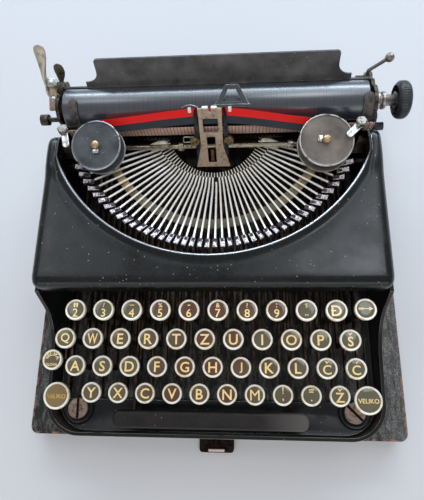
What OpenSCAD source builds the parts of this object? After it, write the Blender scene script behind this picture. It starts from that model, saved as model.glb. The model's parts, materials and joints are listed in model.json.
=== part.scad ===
// Portable typewriter on its case base, standing keyboard to the front (-Y), sizes in mm.

/* [Base] */
// Width of the case base board
base_w = 286; // [270:1:310]
// Depth of the case base board
base_d = 280; // [276:1:300]
// Thickness of the case base board
base_h = 20; // [16:1:24]

/* [Body] */
// Outside width of the lower body
body_w = 243; // [241:1:246]
// Wall thickness of the lower body
wall = 2.5; // [2:0.1:3]
// Height of the body rim over the board at the front
rim_h = 25; // [20:1:28]
// Corner radius of the body front
corner_r = 25; // [15:1:32]
// Height of the hood top over the board
hood_h = 85; // [84:0.5:88]
// Sheet thickness of the hood
hood_t = 2; // [1.2:0.1:2.5]
// Radius of the type basket opening in the hood
rim_r = 118.5; // [116:0.5:121]

/* [Keyboard] */
// Distance between neighbouring keys
key_pitch = 19.05; // [18.9:0.05:19.2]
// Step between rows, front to back
row_step = 17.62; // [17.2:0.05:18.2]
// Rise from row to row
row_rise = 10.65; // [9:0.05:12]
// Diameter of a key
key_d = 14; // [12:0.1:15]
// Diameter of a shift key
shift_d = 18.6; // [16:0.1:19]
// Thickness of a key lever
lever_t = 1.4; // [1:0.1:1.6]
// Length of the space bar
space_l = 139; // [125:1:142]

/* [Type basket] */
// Number of type bars
bars = 42; // [36:2:42]
// Tilt of the segment
seg_tilt = 23.2; // [22:0.1:24.5]
// Pivot radius of the segment
pivot_r = 49.9; // [49.4:0.1:50.4]
// Length of a type bar
bar_l = 64.6; // [63.6:0.1:65]
// Thickness of a type bar
bar_t = 1.3; // [0.8:0.1:1.4]
// Half angle of the fan of bars
fan = 70.8; // [66:0.1:72]

/* [Carriage] */
// Radius of the platen
platen_r = 14.2; // [13.5:0.05:14.3]
// Length of the platen
platen_l = 219; // [200:1:222]
// Diameter of the platen knob
knob_d = 26.5; // [22:0.5:30]
// Length of the platen knob
knob_l = 9.6; // [9:0.2:12]
// Height of the paper table
table_h = 22.5; // [19:0.5:25]
// Resting place of the carriage, off centre
carriage_x = 2; // [0:0.5:4]

/* [Ribbon] */
// Radius of the left spool
spool_l_r = 17.8; // [15:0.1:18]
// Radius of the right spool
spool_r_r = 18.6; // [16:0.1:18.8]
// Height of a spool
spool_h = 14; // [12:0.5:15]

/* [Hidden] */
$fn = 48;
eps = 0.01;
half = body_w / 2;
in_x = half - wall;
top_b = base_h;
floor_z = top_b + 4;
floor_t = 3;
floor_top = floor_z + floor_t;
rim_z = top_b + rim_h;
sill_z = top_b + 68;
hood_z = top_b + hood_h;
front_y = -138.5;
back_y = 118;
hood_front = -42;
hood_back = 72;
rim_y = 98;
arm_x = 109.5;
screw_x = 103.7;
screw_y = -120.5;
lever_z = top_b + 14;
lever_h = 6;
rod_y = 75;
rod_z = lever_z + lever_h / 2;
key_y4 = -108.24;
key_z4 = top_b + 41.87;
row_x = [-88.98, -98.22, -93.37, -83.98];
row_n = [10, 11, 11, 10];
seg_y = 98.1;
seg_z = top_b + 48.6;
print_h = sqrt(bar_l * bar_l - pivot_r * pivot_r);
step_a = 2 * fan / (bars - 1);
rest_front = 49.2;
rest_side = 31;
work_bar = bars / 2;
work_key = 5;
platen_y = 95.2;
platen_z = top_b + 79.5;
rail_z = top_b + 50;
end_l = carriage_x - platen_l / 2 - 6.2;
end_r = carriage_x + platen_l / 2 + 3.8;
knob_x = end_r + 16.4;
guide_y = 62;
guide_z = top_b + 40;
guide_a = -19.8;
spool_x = 80;
spool_y = 58;
spool_z = top_b + 90.5;
plate_z = top_b + 64.5;
plate_t = 2.2;
stud_x = 102.5;
stud_y = 67.5;
lug_y = 116.5;
lug_z = top_b + 77;
lever_x = 7.7;
pull_y = 108.5;
pull_z = top_b + 86;
drum_x = -78;
drum_z = top_b + 23.5;
wheel_x = 40;
wheel_z = rail_z - 6.9;
shaft_y = 73.6;
shaft_z = top_b + 59;
function row_y(r) = key_y4 + (4 - r) * row_step;
function row_z(r) = key_z4 + (4 - r) * row_rise;
function key_x(r, i) = row_x[r - 1] + i * key_pitch;
function bar_a(i) = -fan + i * step_a;
function rest_a(a) = rest_front + (rest_side - rest_front) * (a / fan) * (a / fan);
function spool_tilt(s) = s < 0 ? 14 : 10;
function is_work(r, i) = r == 3 && i == work_key;

// Rectangle with rounded corners, centred
module rounded(w, d, r) {
  square([w - 2 * r, d], center = true);
  square([w, d - 2 * r], center = true);
  for (x = [-1, 1], y = [-1, 1])
    translate([x * (w / 2 - r), y * (d / 2 - r)]) circle(r);
}

// Bar along X between two points of one line
module rod_x(x0, x1, y, z, r) {
  translate([x0, y, z]) rotate([0, 90, 0]) cylinder(h = x1 - x0, r = r);
}

// Side view drawing in Y and Z, made thick along X about x
module slab_x(x, t) {
  translate([x - t / 2, 0, 0]) rotate([90, 0, 90]) linear_extrude(t) children();
}

// Frame of the segment: Y away from the keyboard, Z along its axis
module on_segment() {
  translate([0, seg_y, seg_z]) rotate([seg_tilt, 0, 0]) children();
}

// Frame of the type guide: Z up the plate, Y towards the platen
module on_guide() {
  translate([0, guide_y, guide_z]) rotate([guide_a, 0, 0]) children();
}

// Frame of a ribbon spool, its origin in the middle of the upper flange
module on_spool(s) {
  translate([s * spool_x, spool_y, spool_z]) rotate([spool_tilt(s), 0, 0]) children();
}

// Case bottom: a board with two threaded holes
module base_board() {
  color("#2a2522") difference() {
    linear_extrude(base_h) rounded(base_w, base_d, 6);
    for (s = [-1, 1]) translate([s * screw_x, screw_y, base_h - 12]) cylinder(h = 13, r = 3.1);
  }
}

// Catch for the case lid: a bent plate with round corners, a tongue and a pocket behind it
module base_latch() {
  w = 27;
  d = 12.5;
  color("#6b625c") translate([1.4, -base_d / 2, 6]) difference() {
    union() {
      translate([-w / 2, -1.6, 0]) cube([w, 1.6, 11]);
      translate([-w / 2, -d / 2, 0]) cube([w, d / 2, 1.6]);
      translate([0, -d / 2, 0]) linear_extrude(1.6) rounded(w, d, 3.5);
      translate([-6.2, -11, 0.5]) cube([12.4, 1.8, 4.5]);
    }
    translate([-6.2, -9.2, 0.7]) cube([12.4, 3.6, 3]);
  }
}

// Two screws that hold the machine to the board
module hold_down_screws() {
  color("#8a7a6a") for (s = [-1, 1]) translate([s * screw_x, screw_y, 0]) difference() {
    union() {
      translate([0, 0, base_h - 10]) cylinder(h = floor_top - base_h + 10.5, r = 3);
      translate([0, 0, floor_top]) cylinder(h = 3.4, r = 7.6);
    }
    rotate([0, 0, s < 0 ? 92 : -45]) translate([-9, -0.9, floor_top + 2]) cube([18, 1.8, 2]);
  }
}

// Rubber feet between machine and board
module machine_feet() {
  color("#222222") {
    for (s = [-1, 1]) translate([s * screw_x, screw_y, base_h]) difference() {
      cylinder(h = floor_z - base_h, r = 9);
      translate([0, 0, -1]) cylinder(h = 8, r = 3.4);
    }
    for (s = [-1, 1]) translate([s * 104, 106, base_h]) cylinder(h = floor_z - base_h, r = 8);
  }
}

// Plan of the lower body, drawn in by g all round
module body_plan(g) {
  r = corner_r - g;
  y0 = front_y + g;
  y1 = back_y - g;
  x = half - g;
  translate([-x, y0 + r]) square([2 * x, y1 - y0 - r]);
  translate([-x + r, y0]) square([2 * (x - r), r + 1]);
  for (s = [-1, 1]) translate([s * (x - r), y0 + r]) circle(r);
}

// Side outline of the body: low rim at the keyboard, sweep up to the hood, low back
module body_side() {
  r = 38;
  polygon(concat(
    [[front_y - 1, floor_z - 1], [front_y - 1, rim_z], [-84, rim_z + 4]],
    [for (a = [0:5:70]) [-84 + r * sin(a) * 1.0, rim_z + 4 + r * (1 - cos(a))]],
    [[hood_front, sill_z], [73, sill_z], [80, sill_z - 20], [back_y + 1, sill_z - 22],
     [back_y + 1, floor_z - 1]]));
}

// Lower body: tray for the keyboard, side walls and back, with the stud of the spring drum
module lower_body() {
  color("#17171a") {
    difference() {
      intersection() {
        translate([0, 0, floor_z]) linear_extrude(sill_z - floor_z) body_plan(0);
        slab_x(0, body_w + 2) body_side();
      }
      translate([0, 0, floor_top]) linear_extrude(sill_z) body_plan(wall);
      translate([-in_x + 4, -113.6, floor_z - 1]) cube([2 * in_x - 8, 210, floor_t + 2]);
      for (s = [-1, 1]) translate([s * screw_x, screw_y, floor_z - 1]) cylinder(h = 6, r = 3.4);
    }
    translate([drum_x, back_y - wall + 0.5, drum_z]) rotate([90, 0, 0]) cylinder(h = 23, r = 3);
  }
}

// Outer form of the hood, drawn in by g
module hood_form(g) {
  x = half - g;
  y0 = hood_front + g;
  y1 = hood_back - g;
  z1 = hood_z - g;
  r = 7 - g;
  intersection() {
    translate([0, y1, 0]) rotate([90, 0, 0]) linear_extrude(y1 - y0) polygon(concat(
      [[-x, sill_z - g * 5], [-x, sill_z + 2]],
      [for (a = [0:10:90]) [-(x - 2.4 - r) - r * cos(a), z1 - r + r * sin(a)]],
      [for (a = [90:-10:0]) [(x - 2.4 - r) + r * cos(a), z1 - r + r * sin(a)]],
      [[x, sill_z + 2], [x, sill_z - g * 5]]));
    slab_x(0, body_w + 2) polygon(concat(
      [[y0, sill_z - g * 5], [y0, z1 - r]],
      [for (a = [0:10:90]) [y0 + r - r * cos(a), z1 - r + r * sin(a)]],
      [for (a = [90:-10:0]) [y1 - 9 + 9 * cos(a), z1 - 9 + 9 * sin(a)]],
      [[y1, sill_z - g * 5]]));
  }
}

// Plan of the type basket opening, drawn out by g
module basket_plan(g) {
  intersection() {
    translate([0, rim_y]) circle(rim_r + g, $fn = 120);
    translate([-arm_x - g, -60]) square([2 * (arm_x + g), 140]);
  }
}

// Top cover with the crescent opening over the type bars and a raised rim
module hood() {
  color("#1b1b1e") difference() {
    union() {
      difference() {
        hood_form(0);
        hood_form(hood_t);
      }
      intersection() {
        translate([0, 0, hood_z - 9]) linear_extrude(10.2) difference() {
          basket_plan(2);
          basket_plan(0);
        }
        translate([-half + 4, hood_front + 3, hood_z - 12]) cube([body_w - 8, 103, 20]);
      }
    }
    translate([0, 0, sill_z - 20]) linear_extrude(60) basket_plan(0);
    translate([-arm_x, 40, sill_z - 20]) cube([2 * arm_x, 60, 60]);
  }
}

// Slotted bar that keeps the key levers apart
module key_comb() {
  color("#55504a") difference() {
    translate([-in_x, -20, lever_z - 6]) cube([2 * in_x, 3, lever_h + 8]);
    for (r = [1:4], i = [0:row_n[r - 1] - 1]) comb_slot(key_x(r, i));
    for (x = [-113.5, -108.8, 106.1, 100.8, -57.7, 56.6]) comb_slot(x);
  }
}

// Slot of the comb, open at the bottom for the stroke of the lever
module comb_slot(x) {
  translate([x - lever_t / 2 - 0.35, -21, lever_z - 7]) cube([lever_t + 0.7, 5, lever_h + 8]);
}

// Rod all the key levers turn on
module key_fulcrum_rod() {
  color("#9a948a") rod_x(-in_x, in_x, rod_y, rod_z, 2);
}

// Key lever: flat strip on the rod with an upright stem for the key
module key_lever(x, y, z) {
  slab_x(x, lever_t) difference() {
    union() {
      translate([y - 2, lever_z]) square([rod_y - y + 2, lever_h]);
      translate([rod_y, rod_z]) circle(4.2);
      translate([y - 2, lever_z]) square([4, z - 4 - lever_z]);
    }
    translate([rod_y, rod_z]) circle(2.07);
  }
}

// Levers of one row of keys
module lever_row(r) {
  color("#6e5a48") for (i = [0:row_n[r - 1] - 1])
    if (!is_work(r, i)) key_lever(key_x(r, i), row_y(r), row_z(r));
}

// Nickel cup and rim of a key
module key_rim(x, y, z, d) {
  translate([x, y, z - 4]) difference() {
    cylinder(h = 4, d = d);
    translate([0, 0, 2.4]) cylinder(h = 3, d = d - 2.4);
  }
}

// Legend card under its glass
module key_face(x, y, z, d) {
  translate([x, y, z - 1.6]) cylinder(h = 1.3, d = d - 2.5);
}

// Rims of one row of keys
module rim_row(r) {
  color("#c9c4b8") for (i = [0:row_n[r - 1] - 1])
    if (!is_work(r, i)) key_rim(key_x(r, i), row_y(r), row_z(r), key_d);
}

// Legends of one row of keys
module face_row(r) {
  color("#5c553f") for (i = [0:row_n[r - 1] - 1])
    if (!is_work(r, i)) key_face(key_x(r, i), row_y(r), row_z(r), key_d);
}

// Both shift levers and the bail that joins them under the key levers
module shift_yoke() {
  color("#6e5a48") {
    key_lever(-108.8, -110.9, key_z4);
    key_lever(106.1, -110.7, key_z4);
    translate([-108.8, 52, lever_z - 5.6]) cube([214.9, 5, 3.2]);
    for (x = [-108.8, 106.1]) translate([x - lever_t / 2, 52, lever_z - 5.6]) cube([lever_t, 5, 8]);
  }
}

// Tops of both shift keys
module shift_key_tops() {
  color("#c9c4b8") for (p = [[-108.8, -110.9], [106.1, -110.7]]) {
    key_rim(p[0], p[1], key_z4, shift_d);
    key_face(p[0], p[1], key_z4, shift_d);
  }
}

// Shift lock: lever beside the shift lever, key above it
module shift_lock_key() {
  color("#c9c4b8") {
    key_lever(-113.5, -86.9, row_z(3));
    key_rim(-110.1, -86.9, row_z(3), key_d);
    key_face(-110.1, -86.9, row_z(3), key_d);
  }
}

// Backspace key at the right end of the back row
module backspace_key() {
  color("#c9c4b8") {
    key_lever(100.8, -54.6, row_z(1));
    key_rim(100.8, -54.6, row_z(1), key_d);
    key_face(100.8, -54.6, row_z(1), key_d);
  }
}

// Space bar on two arms that turn on the same rod as the keys
module space_bar() {
  color("#221d1a") {
    translate([-1.5, -126.2, top_b + 24]) linear_extrude(6) rounded(space_l, 12.4, 4.5);
    for (x = [-57.7, 56.6]) key_lever(x, -126.2, top_b + 28);
  }
}

// Slotted segment with its cross beam and the bearings of the feed shaft
module type_segment() {
  color("#b9b09a") difference() {
    union() {
      on_segment() rotate([0, 0, -90 - fan - 4])
        rotate_extrude(angle = 2 * fan + 8, $fn = 96)
          translate([pivot_r - 12, -7]) square([14.6, 9.6]);
      translate([-in_x, 82, top_b + 30]) cube([2 * in_x, 9, 10]);
      for (s = [-1, 1]) translate([s * 73 - 1.5, 71, top_b + 30]) cube([3, 12.5, 33]);
    }
    on_segment() for (i = [0:bars - 1]) rotate([0, 0, bar_a(i)])
      translate([-bar_t / 2 - 0.18, -pivot_r - 6, -5]) cube([bar_t + 0.36, 22, 12]);
    on_segment() rotate([0, 0, -90 - fan - 5])
      rotate_extrude(angle = 2 * fan + 10, $fn = 96)
        translate([pivot_r - 0.95, -0.95]) square([1.9, 6]);
    rod_x(-80, 80, shaft_y, shaft_z, 1.87);
  }
}

// Wire the type bars hang on
module segment_wire() {
  color("#8c8a84") on_segment() rotate([0, 0, -90 - fan - 3])
    rotate_extrude(angle = 2 * fan + 6, $fn = 96)
      translate([pivot_r, 0]) circle(0.75, $fn = 24);
}

// Padded arc the type bars lie on, with its two brackets
module type_rest() {
  color("#8d7a52") {
    translate([0, seg_y, seg_z]) rotate([seg_tilt - 10.45, 0, 0]) translate([0, 8, 12.4])
      rotate([0, 0, -90 - 62]) rotate_extrude(angle = 124, $fn = 96)
        translate([86, -3]) square([7, 3]);
    for (s = [-1, 1]) rest_bracket(s);
  }
}

// Strip from the end of the pad to the side wall
module rest_bracket(s) {
  translate([s * (in_x + 74) / 2, 61, top_b + 48.4]) cube([in_x - 74, 8, 3.2], center = true);
}

// Type bar at angle a in the fan, lifted by r over the segment
module type_bar(a, r) {
  on_segment() rotate([0, 0, a]) translate([0, -pivot_r, 0]) rotate([-r, 0, 0]) {
    difference() {
      union() {
        translate([bar_t / 2, 0, 0]) rotate([0, -90, 0]) linear_extrude(bar_t) polygon(
          [[-1.9, 1], [2.1, 1], [1.5, -bar_l + 5], [1.5, -bar_l - 3], [-1, -bar_l - 3],
           [-1, -bar_l + 5]]);
        translate([-bar_t / 2, 0, 0]) rotate([0, 90, 0]) cylinder(h = bar_t, r = 2.6);
        translate([-bar_t / 2, -1.2, -4.6]) cube([bar_t, 2.4, 4]);
      }
      translate([-2, 0, 0]) rotate([0, 90, 0]) cylinder(h = 4, r = 0.83, $fn = 24);
    }
    translate([0, -bar_l, 0]) rotate([0, 0, 0.4 * a]) type_slug();
  }
}

// Type slug with its two raised characters as plain pads
module type_slug() {
  difference() {
    translate([-1.6, -4.2, -0.6]) cube([3.2, 8.4, 3.2]);
    translate([-bar_t / 2 - 0.05, -6, -3]) cube([bar_t + 0.1, 12, 4.6]);
  }
  for (y = [-2.3, 2.3]) translate([-1, y - 1.4, 2.4]) cube([2, 2.8, 0.8]);
}

// The fan of type bars at rest, without the one that is built to swing
module type_bars() {
  color("#c8c4b6") for (i = [0:bars - 1]) if (i != work_bar)
    type_bar(bar_a(i), rest_a(bar_a(i)));
}

// The type bar of the centre key
module centre_type_bar() {
  color("#c8c4b6") type_bar(bar_a(work_bar), rest_a(bar_a(work_bar)));
}

// Lever, rim and legend of the centre key
module centre_key() {
  color("#c9c4b8") {
    key_lever(key_x(3, work_key), row_y(3), row_z(3));
    key_rim(key_x(3, work_key), row_y(3), row_z(3), key_d);
    key_face(key_x(3, work_key), row_y(3), row_z(3), key_d);
  }
}

// Front view of the ribbon carrier, X across and Y up the plate
module carrier_plan() {
  difference() {
    polygon([[-13.2, 4.5], [-8.4, 25], [-8.4, 58.5], [8.4, 58.5], [8.4, 25], [13.2, 4.5]]);
    translate([0, 43.8]) rounded(11, 12.4, 1.2);
    translate([-0.4, 21.2]) rounded(6.4, 25.4, 0.6);
    polygon([[-0.5, 55.4], [-0.9, 59], [0.9, 59], [0.5, 55.4]]);
  }
}

// Ribbon carrier: the plate in the middle that rises, its type window over a long slot
module ribbon_vibrator() {
  color("#a08d72") on_guide() {
    translate([0, 1.2, 0]) rotate([90, 0, 0]) linear_extrude(1.2) carrier_plan();
    for (s = [-1, 1]) translate([s * 3 - 2, -0.6, 57.6]) cube([4, 1.2, 1.6]);
  }
}

// Front view of one side strip of the guide
module guide_strip() {
  polygon([[9.2, 5], [9.2, 58], [10.6, 58], [12.2, 52], [12.2, 5]]);
  translate([12.7, 30]) circle(3.9);
}

// Guide the carrier slides on: two strips on legs that stand on the segment beam
module type_guide() {
  color("#3b3e40") {
    for (s = [0, 1]) on_guide() mirror([s, 0, 0]) translate([0, 2.05, 0]) rotate([90, 0, 0])
      linear_extrude(0.65) guide_strip();
    for (s = [-1, 1]) guide_leg(s);
  }
}

// Leg from the foot of a strip back to the beam
module guide_leg(s) {
  translate([s * 10.7 - 1.5, 65.9, top_b + 44]) cube([3, 18.6, 2.4]);
  translate([s * 10.7 - 1.5, 82.1, top_b + 40]) cube([3, 2.4, 6.4]);
}

// Two slotted screws at the sides of the guide
module guide_screws() {
  color("#9c8f74") on_guide() for (s = [-1, 1]) translate([s * 12.7, 1.4, 30]) rotate([90, 0, 0])
    difference() {
      cylinder(h = 2, r = 3.6);
      rotate([0, 0, 40]) translate([-4, -0.4, 1.2]) cube([8, 0.8, 1]);
    }
}

// Ribbon: middle piece behind the carrier and a span to each spool
module ribbon() {
  color("#b01818") {
    on_guide() translate([-13.2, 2.26, 44]) cube([26.4, 0.3, 13.4]);
    ribbon_span(-1, 72.4);
    ribbon_span(1, 70.2);
  }
}

// Span of ribbon from the guide to the back of a spool
module ribbon_span(s, y) {
  translate([0, 0, top_b + 81.2]) linear_extrude(9.7) polygon([[s * 13.4, 79.2], [s * 13.4, 79.5],
    [s * 79, y + 0.3], [s * 79, y]]);
}

// Spool: two flanges, a hub and the wound ribbon
module spool(s, r, w) {
  on_spool(s) difference() {
    union() {
      translate([0, 0, -1.2]) cylinder(h = 1.2, r = r);
      translate([0, 0, -spool_h]) cylinder(h = 1.2, r = r);
      translate([0, 0, -spool_h + 0.5]) cylinder(h = spool_h - 1, r = w);
    }
    translate([0, 0, -spool_h - 1]) cylinder(h = spool_h + 2, r = 2.06);
  }
}

// Left spool
module spool_left() {
  color("#26282a") spool(-1, spool_l_r, 11.2);
}

// Right spool
module spool_right() {
  color("#4a3c36") spool(1, spool_r_r, 10.2);
}

// Brackets with the spindles of the spools and the studs of the reverse levers
module spool_brackets() {
  color("#4c463f") for (s = [-1, 1]) {
    translate([s * (in_x + 72) / 2, 66.5, plate_z + plate_t / 2])
      cube([in_x - 72, 12, plate_t], center = true);
    on_spool(s) translate([0, 0, -post_l(s)]) cylinder(h = post_l(s) + 2.8, r = 2);
    on_spool(s) translate([0, 0, -spool_h - 3.6]) cylinder(h = 3.3, r = 5);
    translate([s * stud_x, stud_y, plate_z + 1]) cylinder(h = 27.8, r = 2.6);
    translate([s * stud_x, stud_y, plate_z + 20]) cylinder(h = 13, r = 1.4);
  }
}

// Length of a spindle below the upper flange
function post_l(s) = (spool_z - plate_z - plate_t / 2) / cos(spool_tilt(s));

// Small lever that turns the ribbon feed round, its tongue turned by a
module reverse_lever(s, a) {
  translate([s * stud_x, stud_y, plate_z + 29.1]) difference() {
    union() {
      cylinder(h = 1.4, r = 3.4);
      rotate([0, 0, -s * a]) translate([-2.4, -11, 0]) cube([4.8, 11, 1.4]);
      rotate([0, 0, -s * a]) translate([0, -11, 0]) cylinder(h = 1.4, r = 2.4);
    }
    translate([0, 0, -1]) cylinder(h = 4, r = 1.46);
  }
}

// Left reverse lever
module reverse_lever_left() {
  color("#c4c2bc") reverse_lever(-1, 14);
}

// Right reverse lever
module reverse_lever_right() {
  color("#c4c2bc") reverse_lever(1, 44);
}

// Shaft that drives the spools, with its collars and pinions
module ribbon_feed_shaft() {
  color("#b3aa98") {
    rod_x(-79, 79, shaft_y, shaft_z, 1.8);
    for (x = [-26, 57]) difference() {
      rod_x(x, x + 4, shaft_y, shaft_z, 3.4);
      rod_x(x - 1, x + 5, shaft_y, shaft_z, 1.8);
    }
  }
}

// Card holder: pressed triangle with a window, its foot on the guide
module card_holder() {
  color("#3a3a3c") {
    translate([15.8, 84.2, top_b + 94.4]) rotate([-53.3, 0, 0]) {
      translate([-13, -0.6, -0.7]) cube([26, 1.1, 1.7]);
      translate([0, 0.4, 0]) rotate([90, 0, 0]) linear_extrude(0.8) difference() {
        polygon([[-12.6, 0], [12.6, 0], [4.5, 14], [-4.5, 14]]);
        polygon([[-6.8, 2.6], [6.8, 2.6], [2.6, 11], [-2.6, 11]]);
      }
    }
  }
}

// Cross bar between the side walls with the rail of the carriage and the stud of the escape wheel
module carriage_rail() {
  color("#5a564e") {
    translate([-in_x, 103, rail_z - 10]) cube([2 * in_x, 9, 10]);
    translate([-22, 104, rail_z - 0.5]) cube([44, 6, 8.3]);
    translate([wheel_x, 103.5, wheel_z]) rotate([90, 0, 0]) cylinder(h = 8, r = 1.5);
  }
}

// Carriage: a long channel over the rail
module carriage_frame() {
  color("#3c3a37") difference() {
    translate([end_l + 2.6, 98, rail_z + 0.3]) cube([end_r - end_l - 2.8, 16, 13.5]);
    translate([end_l, 103.85, rail_z]) cube([end_r - end_l, 6.3, 8]);
  }
}

// End plate of the carriage, x at its left face
module end_plate(x) {
  slab_x(x + 1.2, 2.4) difference() {
    union() {
      translate([84, rail_z + 1]) square([26, 34]);
      translate([platen_y, platen_z]) circle(11);
      translate([104, lug_z - 4.5]) square([lug_y - 104, 9]);
      translate([lug_y, lug_z]) circle(4.5);
    }
    translate([platen_y, platen_z]) circle(4.07);
    translate([88.6, platen_z - 18.2]) circle(1.57, $fn = 24);
    translate([94, rail_z]) square([5.4, 6.4]);
  }
}

// Left end of the carriage: line space bracket over the plate, two studs and a small knob
module carriage_end_left() {
  color("#2d2b29") {
    end_plate(end_l);
    slab_x(end_l + 1.2, 2.4) translate([pull_y, pull_z]) circle(5.4);
    slab_x(end_l - 2.7, 5.8) polygon([[91, top_b + 84.6], [112, top_b + 91.6], [112, top_b + 93.2],
      [91, top_b + 86.2]]);
    rod_x(end_l - lever_x - 2, end_l + 1, pull_y, pull_z, 2.5);
    rod_x(end_l - 2.8, end_l + 1, lug_y, lug_z, 2);
    rod_x(end_l - 14, end_l + 1, 94, rail_z + 18.5, 1.8);
    rod_x(end_l - 19.5, end_l - 13.5, 94, rail_z + 18.5, 4.2);
  }
}

// Right end of the carriage with the pins of its two levers
module carriage_end_right() {
  color("#2d2b29") {
    end_plate(end_r);
    rod_x(end_r - 8.8, end_r + 1, lug_y, lug_z, 2);
    rod_x(end_r + 1, end_r + 5.2, 87, rail_z + 22.5, 1.5);
  }
}

// Rubber platen
module platen() {
  color("#2f3337") difference() {
    rod_x(carriage_x - platen_l / 2, carriage_x + platen_l / 2, platen_y, platen_z, platen_r);
    rod_x(-150, 150, platen_y, platen_z, 4.03);
  }
}

// Platen shaft
module platen_shaft() {
  color("#a59c90") {
    rod_x(end_l - 3, knob_x + 7, platen_y, platen_z, 4);
    for (x = [end_r + 3, end_r + 7]) difference() {
      rod_x(x, x + 2.5, platen_y, platen_z, 6.2);
      rod_x(x - 1, x + 4, platen_y, platen_z, 4);
    }
  }
}

// Hollow hand wheel at the right end of the platen, with a round rim and fluted grip
module platen_knob() {
  color("#1d1c1c") difference() {
    union() {
      rod_x(knob_x, knob_x + knob_l, platen_y, platen_z, knob_d / 2 - 5);
      translate([knob_x + knob_l / 2, platen_y, platen_z]) rotate([0, 90, 0]) rotate_extrude($fn = 96)
        translate([knob_d / 2 - 4.5, 0]) rounded(9, knob_l, 4);
    }
    difference() {
      rod_x(knob_x - 1, knob_x + 5.5, platen_y, platen_z, knob_d / 2 - 3);
      rod_x(knob_x - 2, knob_x + 6.5, platen_y, platen_z, 6);
    }
    rod_x(knob_x - 4, knob_x + 7.2, platen_y, platen_z, 4.03);
    for (a = [0:8:352]) translate([0, platen_y, platen_z]) rotate([a, 0, 0])
      rod_x(knob_x + 1.8, knob_x + knob_l - 1.8, knob_d / 2 + 0.2, 0, 0.6);
  }
}

// Plan of the paper table, X across and Y up the plate
module table_plan() {
  w = platen_l / 2 - 12.5;
  skirt = 4.5;
  translate([-w, 0]) square([2 * w, skirt]);
  translate([0, table_h / 2]) rounded(2 * w - 20, table_h, 2.5);
  for (s = [-1, 1]) translate([s * (w - 10), skirt]) difference() {
    translate([s * 4, 4]) square([8.2, 8.2], center = true);
    translate([s * 8.1, 8.1]) circle(8);
  }
}

// Paper table behind the platen, with the flange that ties the end plates together
module paper_table() {
  color("#161618") {
    translate([carriage_x + 2, 111.7, platen_z + 4.4]) rotate([-19, 0, 0])
      rotate([90, 0, 0]) linear_extrude(1.5) table_plan();
    translate([end_l + 2.4, 110.2, rail_z + 14]) cube([end_r - end_l - 2.4, 1.5, 20.6]);
  }
}

// Graduated strip in front of the platen
module paper_scale() {
  color("#9b6a52") {
    translate([end_l, 79.4, rail_z + 16]) cube([end_r + 2.4 - end_l, 0.8, 9.6]);
    for (x = [end_l, end_r]) translate([x, 80.1, rail_z + 16]) cube([2.4, 3.9, 5]);
  }
}

// Toothed bar of the margin stops, between the end plates
module margin_rack() {
  color("#35322e") difference() {
    translate([end_l + 2.4, 84, rail_z + 1]) cube([end_r - end_l - 2.4, 2.5, 4.6]);
    for (x = [end_l + 12:3:end_r - 10]) translate([x, 83, rail_z + 3.4]) cube([1.3, 5, 3]);
  }
}

// Paper fingers that curve up round the front of the platen
module paper_fingers() {
  color("#2a2625") for (x = [carriage_x - 109, carriage_x + 105.8]) finger(x);
}

// One finger, 6 wide, its foot on the back of the scale
module finger(x) {
  translate([x, platen_y, platen_z]) rotate([0, 90, 0]) rotate([0, 0, 192])
    rotate_extrude(angle = 108, $fn = 96) translate([platen_r + 0.2, 0]) square([0.6, 6]);
  translate([x, 80.2, platen_z - 8.4]) cube([6, 1.3, 3.4]);
}

// Rubber roller that presses the paper to the platen
module feed_roller() {
  color("#2f2d2b") {
    rod_x(end_l + 0.2, end_r + 2.2, 88.6, platen_z - 18.2, 1.5);
    for (x = [-90, -30, 30, 70]) difference() {
      rod_x(x, x + 26, 88.6, platen_z - 18.2, 4.9);
      rod_x(x - 1, x + 27, 88.6, platen_z - 18.2, 1.5);
    }
  }
}

// Spoon blade of a lever, w wide and l long, in the plane of X and a slope
module spoon(p, slope, w, l, t) {
  translate(p) rotate([slope, 0, 0]) linear_extrude(t, center = true) {
    polygon([[-2.2, -3], [2.2, -3], [w / 2, l - w / 2], [-w / 2, l - w / 2]]);
    translate([0, l - w / 2]) circle(w / 2);
  }
}

// Line lever on the left end of the carriage, with a spoon end
module return_lever() {
  color("#c0b8a8") {
    slab_x(end_l - lever_x, 2.4) difference() {
      union() {
        translate([pull_y, pull_z]) circle(5.2);
        polygon([[pull_y - 4.2, pull_z + 3], [pull_y + 4, pull_z + 3], [117.5, top_b + 101.5],
          [113, top_b + 103.5]]);
      }
      translate([pull_y, pull_z]) circle(2.56);
    }
    spoon([end_l - lever_x + 1.4, 114.6, top_b + 101.2], 53, 8.4, 16.5, 1.8);
  }
}

// Paddle that lets the feed roller go
module paper_release_lever() {
  color("#5c5650") {
    slab_x(end_l - 1.3, 2) difference() {
      union() {
        translate([lug_y, lug_z]) circle(4.5);
        polygon([[lug_y - 2, lug_z + 2], [lug_y + 2.4, lug_z + 1.5], [lug_y + 4.4, lug_z + 9],
          [lug_y + 1, lug_z + 9]]);
      }
      translate([lug_y, lug_z]) circle(2.06);
    }
    spoon([end_l + 0.6, lug_y + 2.5, lug_z + 7.5], 75, 6.6, 13, 1.4);
  }
}

// Bent rod with a ball that frees the carriage
module carriage_release_lever() {
  color("#a8a49a") {
    slab_x(end_r - 1.5, 2.2) difference() {
      translate([lug_y, lug_z]) circle(4.2);
      translate([lug_y, lug_z]) circle(2.06);
    }
    translate([end_r - 1.5, lug_y, lug_z + 3.4]) cylinder(h = 5, r = 1.3);
    translate([end_r - 1.5, lug_y, lug_z + 8.4]) sphere(1.3, $fn = 32);
    translate([end_r - 1.5, lug_y, lug_z + 8.4]) rotate([0, 41, 0]) cylinder(h = 16, r = 1.3);
    translate([end_r - 1.5, lug_y, lug_z + 8.4]) rotate([0, 41, 0]) translate([0, 0, 17])
      sphere(3.2, $fn = 32);
  }
}

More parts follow.
